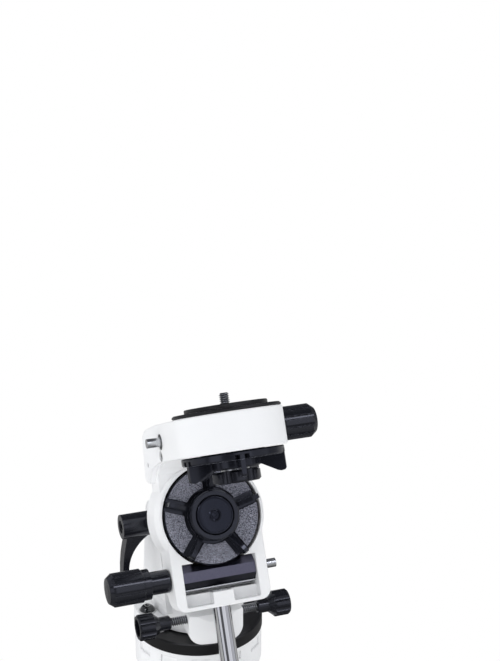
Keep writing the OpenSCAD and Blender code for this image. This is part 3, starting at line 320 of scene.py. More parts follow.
def turned(name, outline, segments, matrix):
    """A closed outline of (radius, height) points turned about Z into a solid, then placed."""
    bpy.ops.mesh.primitive_circle_add(vertices=len(outline), radius=0.01, fill_type="NOTHING")
    shape = bpy.context.object
    shape.name = name
    for vertex, (radius, height) in zip(shape.data.vertices, outline):
        vertex.co = (radius, 0, height)
    bpy.ops.object.mode_set(mode="EDIT")
    bpy.ops.mesh.select_all(action="SELECT")
    bpy.ops.mesh.spin(steps=segments, angle=2 * math.pi, center=(0, 0, 0), axis=(0, 0, 1))
    bpy.ops.mesh.select_all(action="SELECT")
    bpy.ops.mesh.remove_doubles(threshold=1e-6)
    bpy.ops.mesh.normals_make_consistent(inside=False)
    bpy.ops.object.mode_set(mode="OBJECT")
    shape.data.transform(matrix)
    shape.data.shade_smooth()
    shape.data.set_sharp_from_angle(angle=math.radians(30))
    return shape


low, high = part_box("level_ring")
lobe_top = high.z - 0.001
seat = Matrix.Translation(((low.x + high.x) / 2, (low.y + high.y) / 2, lobe_top))
inner_r, skirt_r, flange_r = 0.00515, 0.00532, 0.00605
rim = turned("level_rim", [(inner_r, -0.0028), (skirt_r, -0.0028), (skirt_r, 0.00003), (flange_r, 0.00003),
                           (flange_r, 0.0003), (0.0059, 0.00065), (0.00555, 0.0009), (0.00525, 0.0009),
                           (inner_r, 0.0008)], 64, seat)
rim.data.materials.append(light_acetal)
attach(rim, "turret")
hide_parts("level_ring")
bpy.ops.object.select_all(action="DESELECT")

dome_r, dome_h, dome_foot = 0.0051, 0.0044, 0.0003
bulge = [(dome_r * math.cos(math.radians(a)), dome_foot + dome_h * math.sin(math.radians(a)))
         for a in range(0, 90, 6)]
dome = turned("level_dome", [(0, -0.002), (dome_r, -0.002)] + bulge + [(0, dome_foot + dome_h)], 64, seat)
dome.data.materials.append(vial_glass)
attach(dome, "turret")
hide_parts("level_vial")
bpy.ops.object.select_all(action="DESELECT")

# The ring that the bubble is centred in.
bpy.ops.mesh.primitive_torus_add(major_radius=0.0019, minor_radius=0.00012, major_segments=40, minor_segments=8,
                                 location=(0, 0, 0.0044))
mark = bpy.context.object
mark.name = "level_mark"
bpy.ops.object.transform_apply(location=True)
mark.data.transform(seat)
mark.data.materials.append(light_acetal)
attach(mark, "turret")
bpy.ops.object.select_all(action="DESELECT")

# ---- Lid over the azimuth peg ----
# A small pressed lid closes the front block on top and keeps dust off the peg. It has the
# castings' white coat and drops into the opening, 0.3 mm above the peg.
low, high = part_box("azimuth_peg")
lid_width, lid_depth, lid_thickness = 0.0188, 0.0108, 0.001
bpy.ops.mesh.primitive_cube_add(size=1, location=(0, (low.y + high.y) / 2 + 0.0006, high.z + 0.0008),
                                scale=(lid_width, lid_depth, lid_thickness))
lid = bpy.context.object
lid.name = "peg_lid"
bpy.ops.object.transform_apply(location=True, scale=True)
bpy.ops.object.mode_set(mode="EDIT")
bpy.ops.mesh.bevel(offset=0.0003, segments=2)
bpy.ops.object.mode_set(mode="OBJECT")
lid.data.materials.append(powder_coat)
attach(lid, "turret")
bpy.ops.object.select_all(action="DESELECT")

# ---- Azimuth screws ----
# M6 screws of bright steel with rolled threads. The real pitch is 1 mm. It is drawn as 1.4 mm, so
# that the crests still show at normal size, and the grooves are painted dark, as shade.
joint = {j["name"]: j for j in frame["joints"]}


def span(name, point, axis):
    """How far a CAD piece reaches along axis, down and up from point."""
    reach = [(v.co - point).dot(axis) for v in frame["nodes"][name].data.vertices]
    return min(reach), max(reach)


def threaded_rod(name, start, end, crest, depth, pitch, steps, ridge_metal, core_metal):
    """A threaded rod along Z from start to end: a core, and a ridge wound on it and sunk 0.04 mm into it."""
    turns = int((end - start) / pitch) - 1
    bpy.ops.mesh.primitive_cylinder_add(vertices=48, radius=crest - depth, depth=end - start,
                                        location=(0, 0, (start + end) / 2))
    core = bpy.context.object
    bpy.ops.object.transform_apply(location=True)
    core.data.materials.append(core_metal)
    root = crest - depth - 0.00004
    rod = wind(name, [(root, -0.34 * pitch), (root, 0.34 * pitch), (crest, 0.1 * pitch), (crest, -0.1 * pitch)],
               pitch, turns, steps)
    rod.data.transform(Matrix.Translation((0, 0, (start + end - turns * pitch) / 2)))
    rod.data.materials.append(ridge_metal)
    core.select_set(True)
    bpy.context.view_layer.objects.active = rod
    bpy.ops.object.join()
    return rod


def along(point, axis):
    """The placing that turns Z to axis and moves the origin to point."""
    return Matrix.Translation(point) @ Vector(axis).to_track_quat("Z", "Y").to_matrix().to_4x4()


# Rolling polishes the crests. Their specks are drawn at 0.5 mm, coarser than real, so that they show.
rolled_thread = empty_material("rolled_steel_thread")
place = node(rolled_thread, "ShaderNodeTexCoord").outputs["Object"]
specks = node(rolled_thread, "ShaderNodeTexNoise", {"Vector": place, "Scale": 2000.0, "Detail": 2.0})
tone = node(rolled_thread, "ShaderNodeMix", {0: specks.outputs["Fac"], 6: linear("#9C9EA2"), 7: linear("#CDCFD2")},
            data_type="RGBA")
metal = node(rolled_thread, "ShaderNodeBsdfPrincipled", {"Base Color": tone.outputs[2], "Metallic": 1.0,
                                                        "Roughness": 0.24})
node(rolled_thread, "ShaderNodeOutputMaterial", {"Surface": metal.outputs[0]})

# The core between the crests is painted dark, as shade in the grooves, and dull, in patches of 1.1 mm.
groove_painted_shade = empty_material("steel_with_painted_groove_shade")
place = node(groove_painted_shade, "ShaderNodeTexCoord").outputs["Object"]
groove_mottle = node(groove_painted_shade, "ShaderNodeTexNoise", {"Vector": place, "Scale": 900.0, "Detail": 2.0})
tone = node(groove_painted_shade, "ShaderNodeMix", {0: groove_mottle.outputs["Fac"], 6: linear("#2A2B2E"), 7: linear("#4A4B4F")},
            data_type="RGBA")
metal = node(groove_painted_shade, "ShaderNodeBsdfPrincipled", {"Base Color": tone.outputs[2], "Metallic": 1.0,
                                                        "Roughness": 0.35})
node(groove_painted_shade, "ShaderNodeOutputMaterial", {"Surface": metal.outputs[0]})

for side in ("left", "right"):
    pivot = Vector(joint[side + "_screw_turn"]["pos_m"])
    name = side + "_azimuth_screw"
    start, end = span(name, pivot, Vector((1, 0, 0)))
    rod = threaded_rod(name + "_thread", start, end, crest=0.00298, depth=0.0007, pitch=0.0014, steps=24,
                       ridge_metal=rolled_thread, core_metal=groove_painted_shade)
    rod.data.transform(along(pivot, (1, 0, 0)))
    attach(rod, side + "_screw")
    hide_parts(name)
    bpy.ops.object.select_all(action="DESELECT")

# ---- Azimuth knobs and the other black mouldings ----
# Glass-filled nylon, moulded in black, with slightly rounded edges. The mould is lightly blasted,
# which leaves a clear, slightly blue shine and a grain that is drawn at 0.7 mm, coarser than real.
black_nylon = empty_material("moulded_black_nylon")
place = node(black_nylon, "ShaderNodeTexCoord").outputs["Object"]
grain = node(black_nylon, "ShaderNodeTexNoise", {"Vector": place, "Scale": 1400.0, "Detail": 2.0})
tone = node(black_nylon, "ShaderNodeMix", {0: grain.outputs["Fac"], 6: linear("#101116"), 7: linear("#18191E")},
            data_type="RGBA")
gloss = node(black_nylon, "ShaderNodeMapRange", {"Value": grain.outputs["Fac"], "To Min": 0.15, "To Max": 0.2})
soft_edge = node(black_nylon, "ShaderNodeBevel", {"Radius": 0.0006}, samples=4)
pits = node(black_nylon, "ShaderNodeBump", {"Height": grain.outputs["Fac"], "Strength": 0.06, "Distance": 0.0001,
                                            "Normal": soft_edge.outputs[0]})
moulding = node(black_nylon, "ShaderNodeBsdfPrincipled", {"Base Color": tone.outputs[2],
                                                         "Roughness": gloss.outputs[0],
                                                         "Specular Tint": linear("#EEF1FF"),
                                                         "IOR": 1.53, "Normal": pits.outputs[0]})
node(black_nylon, "ShaderNodeOutputMaterial", {"Surface": moulding.outputs[0]})
for name in ("left_azimuth_knob", "right_azimuth_knob", "altitude_handle", "altitude_lever", "altitude_bolt_cap",
             "polar_cap", "polar_slow_knob", "dec_slow_knob", "telescope_knob", "bar_stop", "weight_lock"):
    dress(name, black_nylon)

# ---- Altitude screw ----
# An M8 screw with a 1.25 mm pitch pushes a brass pad against the housing's heel. Its thread is wound
# as on the azimuth screws.
pivot = Vector(joint["altitude_screw_turn"]["pos_m"])
aim = Vector(joint["altitude_screw_turn"]["axis"])
start, end = span("altitude_screw", pivot, aim)
rod = threaded_rod("altitude_screw_thread", start, end, crest=0.00398, depth=0.00077, pitch=0.00125, steps=20,
                   ridge_metal=rolled_thread, core_metal=groove_painted_shade)
rod.data.transform(along(pivot, aim))
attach(rod, "altitude_screw")
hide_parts("altitude_screw")
bpy.ops.object.select_all(action="DESELECT")

# The pad, the azimuth screws' tips and the bushes are turned brass, tarnished in patches of 3.3 mm.
turned_brass = empty_material("turned_brass")
place = node(turned_brass, "ShaderNodeTexCoord").outputs["Object"]
patina = node(turned_brass, "ShaderNodeTexNoise", {"Vector": place, "Scale": 300.0, "Detail": 4.0})
tone = node(turned_brass, "ShaderNodeMix", {0: patina.outputs["Fac"], 6: linear("#A9853F"), 7: linear("#CBAA62")},
            data_type="RGBA")
sheen = node(turned_brass, "ShaderNodeMapRange", {"Value": patina.outputs["Fac"], "To Min": 0.2, "To Max": 0.36})
metal = node(turned_brass, "ShaderNodeBsdfPrincipled", {"Base Color": tone.outputs[2], "Metallic": 1.0,
                                                       "Roughness": sheen.outputs[0]})
node(turned_brass, "ShaderNodeOutputMaterial", {"Surface": metal.outputs[0]})
for name in ("left_azimuth_tip", "right_azimuth_tip", "altitude_pad", "polar_bush", "worm_bushes", "dec_bush",
             "dec_worm_bushes"):
    dress(name, turned_brass)

# ---- Polar housing and latitude scale ----
# The housing is another coated casting. A strip of aluminium round its pivot drum carries the
# latitude lines, engraved and filled with black, under a red pointer on the right ear.
dress("polar_housing", powder_coat)

# Satin aluminium, also on the declination shaft. Its grain is drawn at 1.1 mm, coarser than real.
strip_metal = empty_material("engraved_aluminium")
place = node(strip_metal, "ShaderNodeTexCoord").outputs["Object"]
brush = node(strip_metal, "ShaderNodeTexNoise", {"Vector": place, "Scale": 900.0, "Detail": 2.0})
tone = node(strip_metal, "ShaderNodeMix", {0: brush.outputs["Fac"], 6: linear("#B9BBBD"), 7: linear("#D4D5D6")},
            data_type="RGBA")
metal = node(strip_metal, "ShaderNodeBsdfPrincipled", {"Base Color": tone.outputs[2], "Metallic": 0.9,
                                                      "Roughness": 0.34})
node(strip_metal, "ShaderNodeOutputMaterial", {"Surface": metal.outputs[0]})
for name in ("latitude_scale", "dec_shaft"):
    dress(name, strip_metal)

# Half-gloss red enamel, brushed on, so its colour drifts over 2 mm.
red_enamel = empty_material("red_enamel")
place = node(red_enamel, "ShaderNodeTexCoord").outputs["Object"]
flow = node(red_enamel, "ShaderNodeTexNoise", {"Vector": place, "Scale": 500.0})
tone = node(red_enamel, "ShaderNodeMix", {0: flow.outputs["Fac"], 6: linear("#A81C18"), 7: linear("#BF2A22")},
            data_type="RGBA")
enamel = node(red_enamel, "ShaderNodeBsdfPrincipled", {"Base Color": tone.outputs[2], "Roughness": 0.35, "IOR": 1.5})
node(red_enamel, "ShaderNodeOutputMaterial", {"Surface": enamel.outputs[0]})
dress("latitude_pointer", red_enamel)

# The polar frame starts at the altitude axis: X to the right, Y up across the polar axis, Z along it.
polar_line = Vector(joint["polar_slow"]["axis"])
across = Vector((1, 0, 0)).cross(polar_line) * -1
polar_frame = Matrix.Translation(joint["altitude_tilt"]["pos_m"]) @ Matrix(
    (Vector((1, 0, 0)), across, polar_line)).transposed().to_4x4()


def tick_ring(name, size, place, count):
    """Thin lines of one size, the first at place, repeated evenly about Z."""
    bpy.ops.mesh.primitive_cube_add(size=1, location=place, scale=size)
    bpy.ops.object.transform_apply(location=True, scale=True)
    lines = bpy.context.object
    lines.name = name
    if count > 1:
        bpy.ops.object.mode_set(mode="EDIT")
        bpy.ops.mesh.select_all(action="SELECT")
        bpy.ops.mesh.spin(steps=count - 1, dupli=True, angle=2 * math.pi * (count - 1) / count,
                          center=(0, 0, 0), axis=(0, 0, 1))
        bpy.ops.object.mode_set(mode="OBJECT")
    return lines


def numeral(text, size, matrix):
    """A raised number in its own plane, centred, then placed."""
    bpy.ops.object.text_add()
    letters = bpy.context.object
    letters.data.body = text
    letters.data.align_x = "CENTER"
    letters.data.align_y = "CENTER"
    letters.data.size = size
    letters.data.extrude = 0.00003
    letters.data.resolution_u = 2
    bpy.ops.object.convert(target="MESH")
    letters = bpy.context.object
    letters.data.transform(matrix)
    return letters


def join(pieces, name):
    """Makes one piece of several, under a new name."""
    bpy.ops.object.select_all(action="DESELECT")
    for piece in pieces:
        piece.select_set(True)
    bpy.context.view_layer.objects.active = pieces[0]
    bpy.ops.object.join()
    bpy.context.object.name = name
    return bpy.context.object


# Matt paint wiped into the engraving. Its flecks are drawn at 0.7 mm, coarser than real.
black_fill = empty_material("black_engraving_fill")
place = node(black_fill, "ShaderNodeTexCoord").outputs["Object"]
fleck = node(black_fill, "ShaderNodeTexNoise", {"Vector": place, "Scale": 1500.0})
tone = node(black_fill, "ShaderNodeMix", {0: fleck.outputs["Fac"], 6: linear("#0E0F10"), 7: linear("#1A1B1D")},
            data_type="RGBA")
ink = node(black_fill, "ShaderNodeBsdfPrincipled", {"Base Color": tone.outputs[2], "Roughness": 0.55})
node(black_fill, "ShaderNodeOutputMaterial", {"Surface": ink.outputs[0]})

# On the strip the angle from the rear is the latitude plus 45 degrees. The lines are 2 degrees apart
# and start at the strip's outer edge.
drum_r, strip_edge, numeral_height = 0.0135, 0.0178, 0.0145
marks = []
for latitude in range(20, 71, 2):
    turn = Matrix.Rotation(math.radians(latitude + 45), 4, "Z")
    tens = latitude % 10 == 0
    length = 0.0020 if tens else 0.0012
    lines = tick_ring("line", (0.00008, 0.00018, length), (drum_r, 0, strip_edge - length / 2), 1)
    lines.data.transform(turn)
    marks.append(lines)
    if tens:
        flat = Matrix(((0, 0, 1, drum_r), (1, 0, 0, 0), (0, 1, 0, numeral_height), (0, 0, 0, 1)))
        marks.append(numeral(str(latitude), 0.0021, turn @ flat))
marks = join(marks, "latitude_lines")
# They are drawn about Z, and the pivot runs to the right, so they are turned a quarter about Y.
marks.data.transform(polar_frame @ Matrix.Rotation(math.radians(90), 4, "Y"))
marks.data.materials.append(black_fill)
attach(marks, "polar_body")
bpy.ops.object.select_all(action="DESELECT")

# ---- Polar setting circle ----
# A black enamelled slip ring behind the head. Its rim is divided into 24 hours, with lines of ten
# minutes, engraved and filled with matt white paint, flecked like the black.
white_fill = empty_material("white_engraving_fill")
place = node(white_fill, "ShaderNodeTexCoord").outputs["Object"]
fleck = node(white_fill, "ShaderNodeTexNoise", {"Vector": place, "Scale": 1500.0})
tone = node(white_fill, "ShaderNodeMix", {0: fleck.outputs["Fac"], 6: linear("#D2D2D0"), 7: linear("#E6E6E4")},
            data_type="RGBA")
ink = node(white_fill, "ShaderNodeBsdfPrincipled", {"Base Color": tone.outputs[2], "Roughness": 0.55})
node(white_fill, "ShaderNodeOutputMaterial", {"Surface": ink.outputs[0]})

rear_edge = span("polar_circle", polar_frame.translation, polar_line)[0]
circle_r, numeral_height = 0.033, rear_edge + 0.00285
fine = tick_ring("tens", (0.00008, 0.00018, 0.0008), (circle_r, 0, rear_edge + 0.0011), 144)
coarse = tick_ring("hours", (0.00008, 0.00026, 0.0013), (circle_r, 0, rear_edge + 0.00135), 24)
hours = [fine, coarse]
for hour in range(24):
    flat = Matrix(((0, 0, 1, circle_r), (1, 0, 0, 0), (0, 1, 0, numeral_height), (0, 0, 0, 1)))
    hours.append(numeral(str(hour), 0.0017, Matrix.Rotation(math.radians(15 * hour), 4, "Z") @ flat))
hours = join(hours, "polar_circle_marks")
hours.data.transform(polar_frame)
hours.data.materials.append(white_fill)
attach(hours, "polar_circle")
bpy.ops.object.select_all(action="DESELECT")

# ---- Clutch knobs ----
# Moulded black nylon like the other knobs, but the mould's five sectors are spark eroded, so they
# look grey and speckled. The hub, the fins and the channels are smooth. The real speckle is finer,
# and is drawn at 0.6 mm so that it shows.
def clutch_material(name, pads_middle, turn):
    """Eroded where the surface lies in the pads' plane, smooth elsewhere, centred on the knob's axis."""
    made = empty_material(name)
    place = node(made, "ShaderNodeTexCoord").outputs["Object"]
    local = node(made, "ShaderNodeMapping", {"Vector": place, "Location": pads_middle, "Rotation": turn},
                 vector_type="TEXTURE").outputs[0]
    parts = node(made, "ShaderNodeSeparateXYZ", {0: local})
    level = node(made, "ShaderNodeMath", {0: parts.outputs["Z"]}, operation="ABSOLUTE")
    eroded = node(made, "ShaderNodeMath", {0: level.outputs[0], 1: 0.00006}, operation="LESS_THAN")  # within 0.06 mm
    spark = node(made, "ShaderNodeTexNoise", {"Vector": place, "Scale": 1800.0, "Detail": 3.0, "Roughness": 0.7})
    speck = node(made, "ShaderNodeMapRange", {"Value": spark.outputs["Fac"], "From Min": 0.44, "From Max": 0.58})
    grey = node(made, "ShaderNodeMix", {0: speck.outputs[0], 6: linear("#25262E"), 7: linear("#A8A9B6")},
                data_type="RGBA")
    smooth = node(made, "ShaderNodeMix", {0: spark.outputs["Fac"], 6: linear("#121318"), 7: linear("#191A20")},
                  data_type="RGBA")
    tone = node(made, "ShaderNodeMix", {0: eroded.outputs[0], 6: smooth.outputs[2], 7: grey.outputs[2]},
                data_type="RGBA")
    gloss = node(made, "ShaderNodeMapRange", {"Value": eroded.outputs[0], "To Min": 0.17, "To Max": 0.6})
    relief = node(made, "ShaderNodeMath", {0: eroded.outputs[0], 1: spark.outputs["Fac"]}, operation="MULTIPLY")
    soft_edge = node(made, "ShaderNodeBevel", {"Radius": 0.0006}, samples=4)
    pits = node(made, "ShaderNodeBump", {"Height": relief.outputs[0], "Strength": 0.5, "Distance": 0.0002,
                                         "Normal": soft_edge.outputs[0]})
    moulding = node(made, "ShaderNodeBsdfPrincipled", {"Base Color": tone.outputs[2], "Roughness": gloss.outputs[0],
                                                       "Specular Tint": linear("#E6EBFF"),
                                                       "IOR": 1.53, "Normal": pits.outputs[0]})
    node(made, "ShaderNodeOutputMaterial", {"Surface": moulding.outputs[0]})
    return made


face = Vector(joint["polar_clutch_turn"]["pos_m"])
dress("polar_clutch_knob", clutch_material("polar_clutch_nylon", face, polar_frame.to_euler()))

# ---- Clutch cap ----
# A thin disc of polished nylon snapped into the hub, with a rounded rim, a dished face and a collar
# round the head of the screw that holds the knob on. It mirrors the room softly, and its polish
# drifts over 4 mm.
polished_nylon = empty_material("polished_black_nylon")
place = node(polished_nylon, "ShaderNodeTexCoord").outputs["Object"]
depth = node(polished_nylon, "ShaderNodeTexNoise", {"Vector": place, "Scale": 250.0, "Detail": 3.0})
tone = node(polished_nylon, "ShaderNodeMix", {0: depth.outputs["Fac"], 6: linear("#0B0C12"), 7: linear("#12131A")},
            data_type="RGBA")
gloss = node(polished_nylon, "ShaderNodeMapRange", {"Value": depth.outputs["Fac"], "To Min": 0.1, "To Max": 0.18})
skin = node(polished_nylon, "ShaderNodeBsdfPrincipled", {"Base Color": tone.outputs[2], "Roughness": gloss.outputs[0],
                                                        "IOR": 1.46, "Specular Tint": linear("#D8E0FF")})
node(polished_nylon, "ShaderNodeOutputMaterial", {"Surface": skin.outputs[0]})

seat = span("polar_clutch_cap", polar_frame.translation, polar_line)[0]
cap_rim = [(0, 0), (0.0122, 0), (0.0122, 0.0012), (0.0121, 0.0015), (0.0118, 0.0017), (0.0115, 0.00175),
           (0.0112, 0.0017), (0.0110, 0.0015), (0.0108, 0.00125)]
cap_dish = [(0.0100, 0.00115), (0.0070, 0.00095), (0.0042, 0.0009)]
cap_collar = [(0.0039, 0.0011), (0.0036, 0.0014), (0.0033, 0.0015), (0.0030, 0.0014), (0.0028, 0.0011),
              (0.0027, 0.0005)]
screw_head = [(0.0021, 0.0005), (0.0020, 0.0011), (0.0017, 0.0013), (0.0011, 0.0013), (0.0009, 0.0007), (0, 0.0007)]
cap = turned("polar_clutch_disc", cap_rim + cap_dish + cap_collar + screw_head, 96,
             polar_frame @ Matrix.Translation((0, 0, seat)))
cap.data.materials.append(polished_nylon)
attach(cap, "polar_clutch")
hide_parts("polar_clutch_cap")
bpy.ops.object.select_all(action="DESELECT")

# ---- Worm wheels ----
# Cut from bronze, one hundred teeth each, and packed with dark molybdenum grease. The dark colour hides
# most of the bronze's, and is also painted shade, for where a wheel shows in the gap under the clutch
# disc. It lies in smears of 3 mm.
bronze_in_grease_and_painted_shade = empty_material("bronze_in_grease_and_painted_shade")
place = node(bronze_in_grease_and_painted_shade, "ShaderNodeTexCoord").outputs["Object"]
smear = node(bronze_in_grease_and_painted_shade, "ShaderNodeTexNoise", {"Vector": place, "Scale": 350.0, "Detail": 4.0})
tone = node(bronze_in_grease_and_painted_shade, "ShaderNodeMix", {0: smear.outputs["Fac"], 6: linear("#1C1A18"), 7: linear("#4B4030")},
            data_type="RGBA")
sheen = node(bronze_in_grease_and_painted_shade, "ShaderNodeMapRange", {"Value": smear.outputs["Fac"], "To Min": 0.25, "To Max": 0.5})
metal = node(bronze_in_grease_and_painted_shade, "ShaderNodeBsdfPrincipled", {"Base Color": tone.outputs[2], "Metallic": 0.7,
                                                         "Roughness": sheen.outputs[0]})
node(bronze_in_grease_and_painted_shade, "ShaderNodeOutputMaterial", {"Surface": metal.outputs[0]})
for name in ("polar_wheel", "dec_wheel"):
    dress(name, bronze_in_grease_and_painted_shade)

# ---- Head casting ----
# One casting holds the polar bush, the worm's window, the bar's socket and the declination drum.
# It has the same white coat.
dress("head_casting", powder_coat)

# ---- Worm carriers ----
# Eight-sided aluminium bars, blasted and anodised satin black, so the flats catch a broad violet-grey
# light. Their grain is drawn at 1.4 mm, coarser than real. The flats that face down are painted
# darker, as shade.
anodised = empty_material("satin_black_anodised_aluminium")
place = node(anodised, "ShaderNodeTexCoord").outputs["Object"]
milling = node(anodised, "ShaderNodeTexNoise", {"Vector": place, "Scale": 700.0, "Detail": 2.0})
anodised_tone = node(anodised, "ShaderNodeMix", {0: milling.outputs["Fac"], 6: linear("#5F5E6E"), 7: linear("#6B6A79")},
             data_type="RGBA")
# Painted shade: the flats that face down are coloured darker, as if in shadow.
outward = node(anodised, "ShaderNodeTexCoord").outputs["Normal"]
down = node(anodised, "ShaderNodeVectorMath", {0: outward, 1: tuple((polar_line - across).normalized())},
            operation="DOT_PRODUCT").outputs["Value"]
painted_shade_down_flats = node(anodised, "ShaderNodeMapRange", {"Value": down, "From Min": 0.9, "From Max": 0.97})
tone = node(anodised, "ShaderNodeMix", {0: painted_shade_down_flats.outputs[0], 6: anodised_tone.outputs[2], 7: linear("#34343B")},
            data_type="RGBA")
sheen = node(anodised, "ShaderNodeMapRange", {"Value": milling.outputs["Fac"], "To Min": 0.3, "To Max": 0.4})
soft_edge = node(anodised, "ShaderNodeBevel", {"Radius": 0.0004}, samples=4)
metal = node(anodised, "ShaderNodeBsdfPrincipled", {"Base Color": tone.outputs[2], "Metallic": 1.0,
                                                   "Roughness": sheen.outputs[0], "Normal": soft_edge.outputs[0]})
node(anodised, "ShaderNodeOutputMaterial", {"Surface": metal.outputs[0]})
for name in ("worm_carrier", "dec_worm_carrier"):
    dress(name, anodised)

# ---- Grub screw, and a dark plug and rings painted as shade in holes ----
# A black oxide grub screw in the bracket's left side clamps the declination worm's carrier. A black
# plug in the vent beside it paints the vent's shade. Black rings in the holes of the drive stubs stand
# for the black carriers inside and paint the shade there. Plug and rings are matt black rubber, with
# dust in patches of 1.1 mm.
rubber = empty_material("black_rubber")
place = node(rubber, "ShaderNodeTexCoord").outputs["Object"]
dust = node(rubber, "ShaderNodeTexNoise", {"Vector": place, "Scale": 900.0, "Detail": 3.0})
tone = node(rubber, "ShaderNodeMix", {0: dust.outputs["Fac"], 6: linear("#0D0D0E"), 7: linear("#1B1B1C")},
            data_type="RGBA")
skin = node(rubber, "ShaderNodeBsdfPrincipled", {"Base Color": tone.outputs[2], "Roughness": 0.6, "IOR": 1.52})
node(rubber, "ShaderNodeOutputMaterial", {"Surface": skin.outputs[0]})

# Both places are taken from the declination worm's middle, in the polar frame's directions.
worm = Vector(joint["dec_worm_turn"]["pos_m"])
grip = worm + polar_frame.to_3x3() @ Vector((0, -0.009, -0.003))
body_r, socket_r = 0.0034, 0.0017
grub = turned("bracket_grub_screw", [(0, -0.0296), (body_r, -0.0296), (body_r, -0.0330), (0.0030, -0.0334),
                                     (0.0019, -0.0334), (socket_r, -0.0331), (socket_r, -0.0315), (0, -0.0315)],
              40, along(Vector((0, grip.y, grip.z)), (1, 0, 0)))
grub.data.materials.append(black_oxide)
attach(grub, "head")
bpy.ops.object.select_all(action="DESELECT")

# The plug is a dark piece put into the vent hole as painted shade.
vent = worm + polar_frame.to_3x3() @ Vector((0, -0.0133, -0.0388))
plug_r = 0.00145
plug = turned("bracket_vent_shade_plug", [(0, -0.0300), (plug_r, -0.0300), (plug_r, -0.0338), (0.0012, -0.0340),
                                    (0, -0.0340)], 32, along(Vector((0, vent.y, vent.z)), (1, 0, 0)))
plug.data.materials.append(rubber)
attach(plug, "head")
bpy.ops.object.select_all(action="DESELECT")

# Each ring ends 0.4 mm inside the casting's wall.
# The rings stand for the dark carriers in the stubs' holes and paint the shade inside them.
stub_bore, ring_height = 0.0036, 0.0018
for name, side, wall, ring_r in (("polar", 1, 0.0320, 0.00395), ("dec", -1, 0.0346, 0.00505)):
    centre = Vector(joint[name + "_worm_turn"]["pos_m"])
    ring = turned(name + "_carrier_and_shade_ring", [(stub_bore, 0), (ring_r, 0), (ring_r, ring_height),
                                        (stub_bore + 0.0003, ring_height), (stub_bore, 0.0014)], 40,
                  along(centre + Vector((side * (wall - 0.0022), 0, 0)), (side, 0, 0)))
    ring.data.materials.append(rubber)
    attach(ring, "head")
    bpy.ops.object.select_all(action="DESELECT")

# ---- Declination clutch and setting circle ----
# The same knob as on the polar axis, hung under the declination drum. The circle between drum and
# platform has a line every 2 degrees, numbered by twenties four times between 0 and 90.
dec_line = Vector(joint["dec_slip"]["axis"])
dec_frame = Matrix.Translation(joint["dec_slip"]["pos_m"]) @ Matrix(
    (Vector((1, 0, 0)), polar_line * -1, dec_line)).transposed().to_4x4()
face = Vector(joint["dec_clutch_turn"]["pos_m"])
dress("dec_clutch_knob", clutch_material("dec_clutch_nylon", face, dec_frame.to_euler()))

face_height = span("dec_circle", dec_frame.translation, dec_line)[1]
numeral_r = 0.0293
fine = tick_ring("degrees", (0.0011, 0.00014, 0.00008), (0.0322, 0, face_height), 180)
coarse = tick_ring("tens", (0.0018, 0.00024, 0.00008), (0.03185, 0, face_height), 36)
degrees = [fine, coarse]
for step in range(0, 36, 2):
    quarter, tens = divmod(step, 9)
    value = tens * 10 if quarter % 2 == 0 else 90 - tens * 10
    flat = Matrix(((0, 1, 0, numeral_r), (-1, 0, 0, 0), (0, 0, 1, face_height), (0, 0, 0, 1)))
    degrees.append(numeral(str(value), 0.0022, Matrix.Rotation(math.radians(10 * step), 4, "Z") @ flat))
degrees = join(degrees, "dec_circle_marks")
degrees.data.transform(dec_frame)
degrees.data.materials.append(white_fill)
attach(degrees, "dec_circle")
bpy.ops.object.select_all(action="DESELECT")

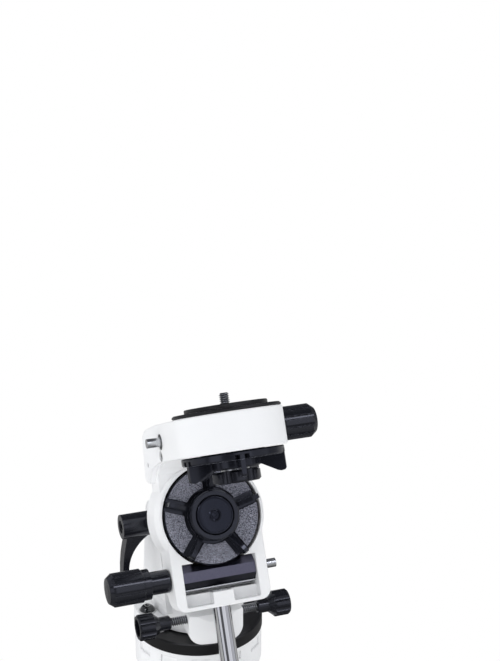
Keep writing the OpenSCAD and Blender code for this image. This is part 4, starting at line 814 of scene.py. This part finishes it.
# ---- Telescope screw ----
# A captive quarter inch screw, 20 threads to the inch, in the hollow declination shaft. It is full
# in the knob and washer, thin in the middle, and threaded where it stands out of the platform.
start, end = span("telescope_screw", dec_frame.translation, dec_line)
top = span("telescope_platform", dec_frame.translation, dec_line)[1]
full_r, full_length, thin_r, thin_start = 0.003165, 0.0078, 0.00266, 0.007
rod = threaded_rod("telescope_screw_thread", top - 0.0004, end, crest=full_r, depth=0.00078, pitch=0.00127, steps=24,
                   ridge_metal=rolled_thread, core_metal=groove_painted_shade)
for radius, low_end, high_end in ((full_r, start, start + full_length), (thin_r, start + thin_start, top)):
    bpy.ops.mesh.primitive_cylinder_add(vertices=48, radius=radius, depth=high_end - low_end,
                                        location=(0, 0, (low_end + high_end) / 2))
    shank = bpy.context.object
    bpy.ops.object.transform_apply(location=True)
    shank.data.materials.append(rolled_thread)
    rod = join([rod, shank], "telescope_screw_thread")
rod.data.transform(dec_frame)
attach(rod, "telescope_screw")
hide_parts("telescope_screw")
bpy.ops.object.select_all(action="DESELECT")

# ---- Counterweight and bar ----
# The bar is ground steel, chrome plated: a mirror with a faint haze over 5 mm. The weight is cast
# iron in black enamel, which follows the sand's 2.4 mm grain, and a lobed screw locks it.
chrome = empty_material("chrome_plate")
place = node(chrome, "ShaderNodeTexCoord").outputs["Object"]
haze = node(chrome, "ShaderNodeTexNoise", {"Vector": place, "Scale": 200.0, "Detail": 3.0})
gloss = node(chrome, "ShaderNodeMapRange", {"Value": haze.outputs["Fac"], "To Min": 0.05, "To Max": 0.1})
metal = node(chrome, "ShaderNodeBsdfPrincipled", {"Base Color": linear("#D9DADC"), "Metallic": 1.0,
                                                 "Roughness": gloss.outputs[0]})
node(chrome, "ShaderNodeOutputMaterial", {"Surface": metal.outputs[0]})
dress("counterweight_bar", chrome)

cast_enamel = empty_material("black_enamelled_iron")
place = node(cast_enamel, "ShaderNodeTexCoord").outputs["Object"]
sand = node(cast_enamel, "ShaderNodeTexNoise", {"Vector": place, "Scale": 420.0, "Detail": 4.0})
tone = node(cast_enamel, "ShaderNodeMix", {0: sand.outputs["Fac"], 6: linear("#17181A"), 7: linear("#26272A")},
            data_type="RGBA")
gloss = node(cast_enamel, "ShaderNodeMapRange", {"Value": sand.outputs["Fac"], "To Min": 0.3, "To Max": 0.5})
soft_edge = node(cast_enamel, "ShaderNodeBevel", {"Radius": 0.001}, samples=4)
relief = node(cast_enamel, "ShaderNodeBump", {"Height": sand.outputs["Fac"], "Strength": 0.35, "Distance": 0.0004,
                                              "Normal": soft_edge.outputs[0]})
enamel = node(cast_enamel, "ShaderNodeBsdfPrincipled", {"Base Color": tone.outputs[2], "Roughness": gloss.outputs[0],
                                                       "IOR": 1.52, "Normal": relief.outputs[0]})
node(cast_enamel, "ShaderNodeOutputMaterial", {"Surface": enamel.outputs[0]})
dress("counterweight", cast_enamel)
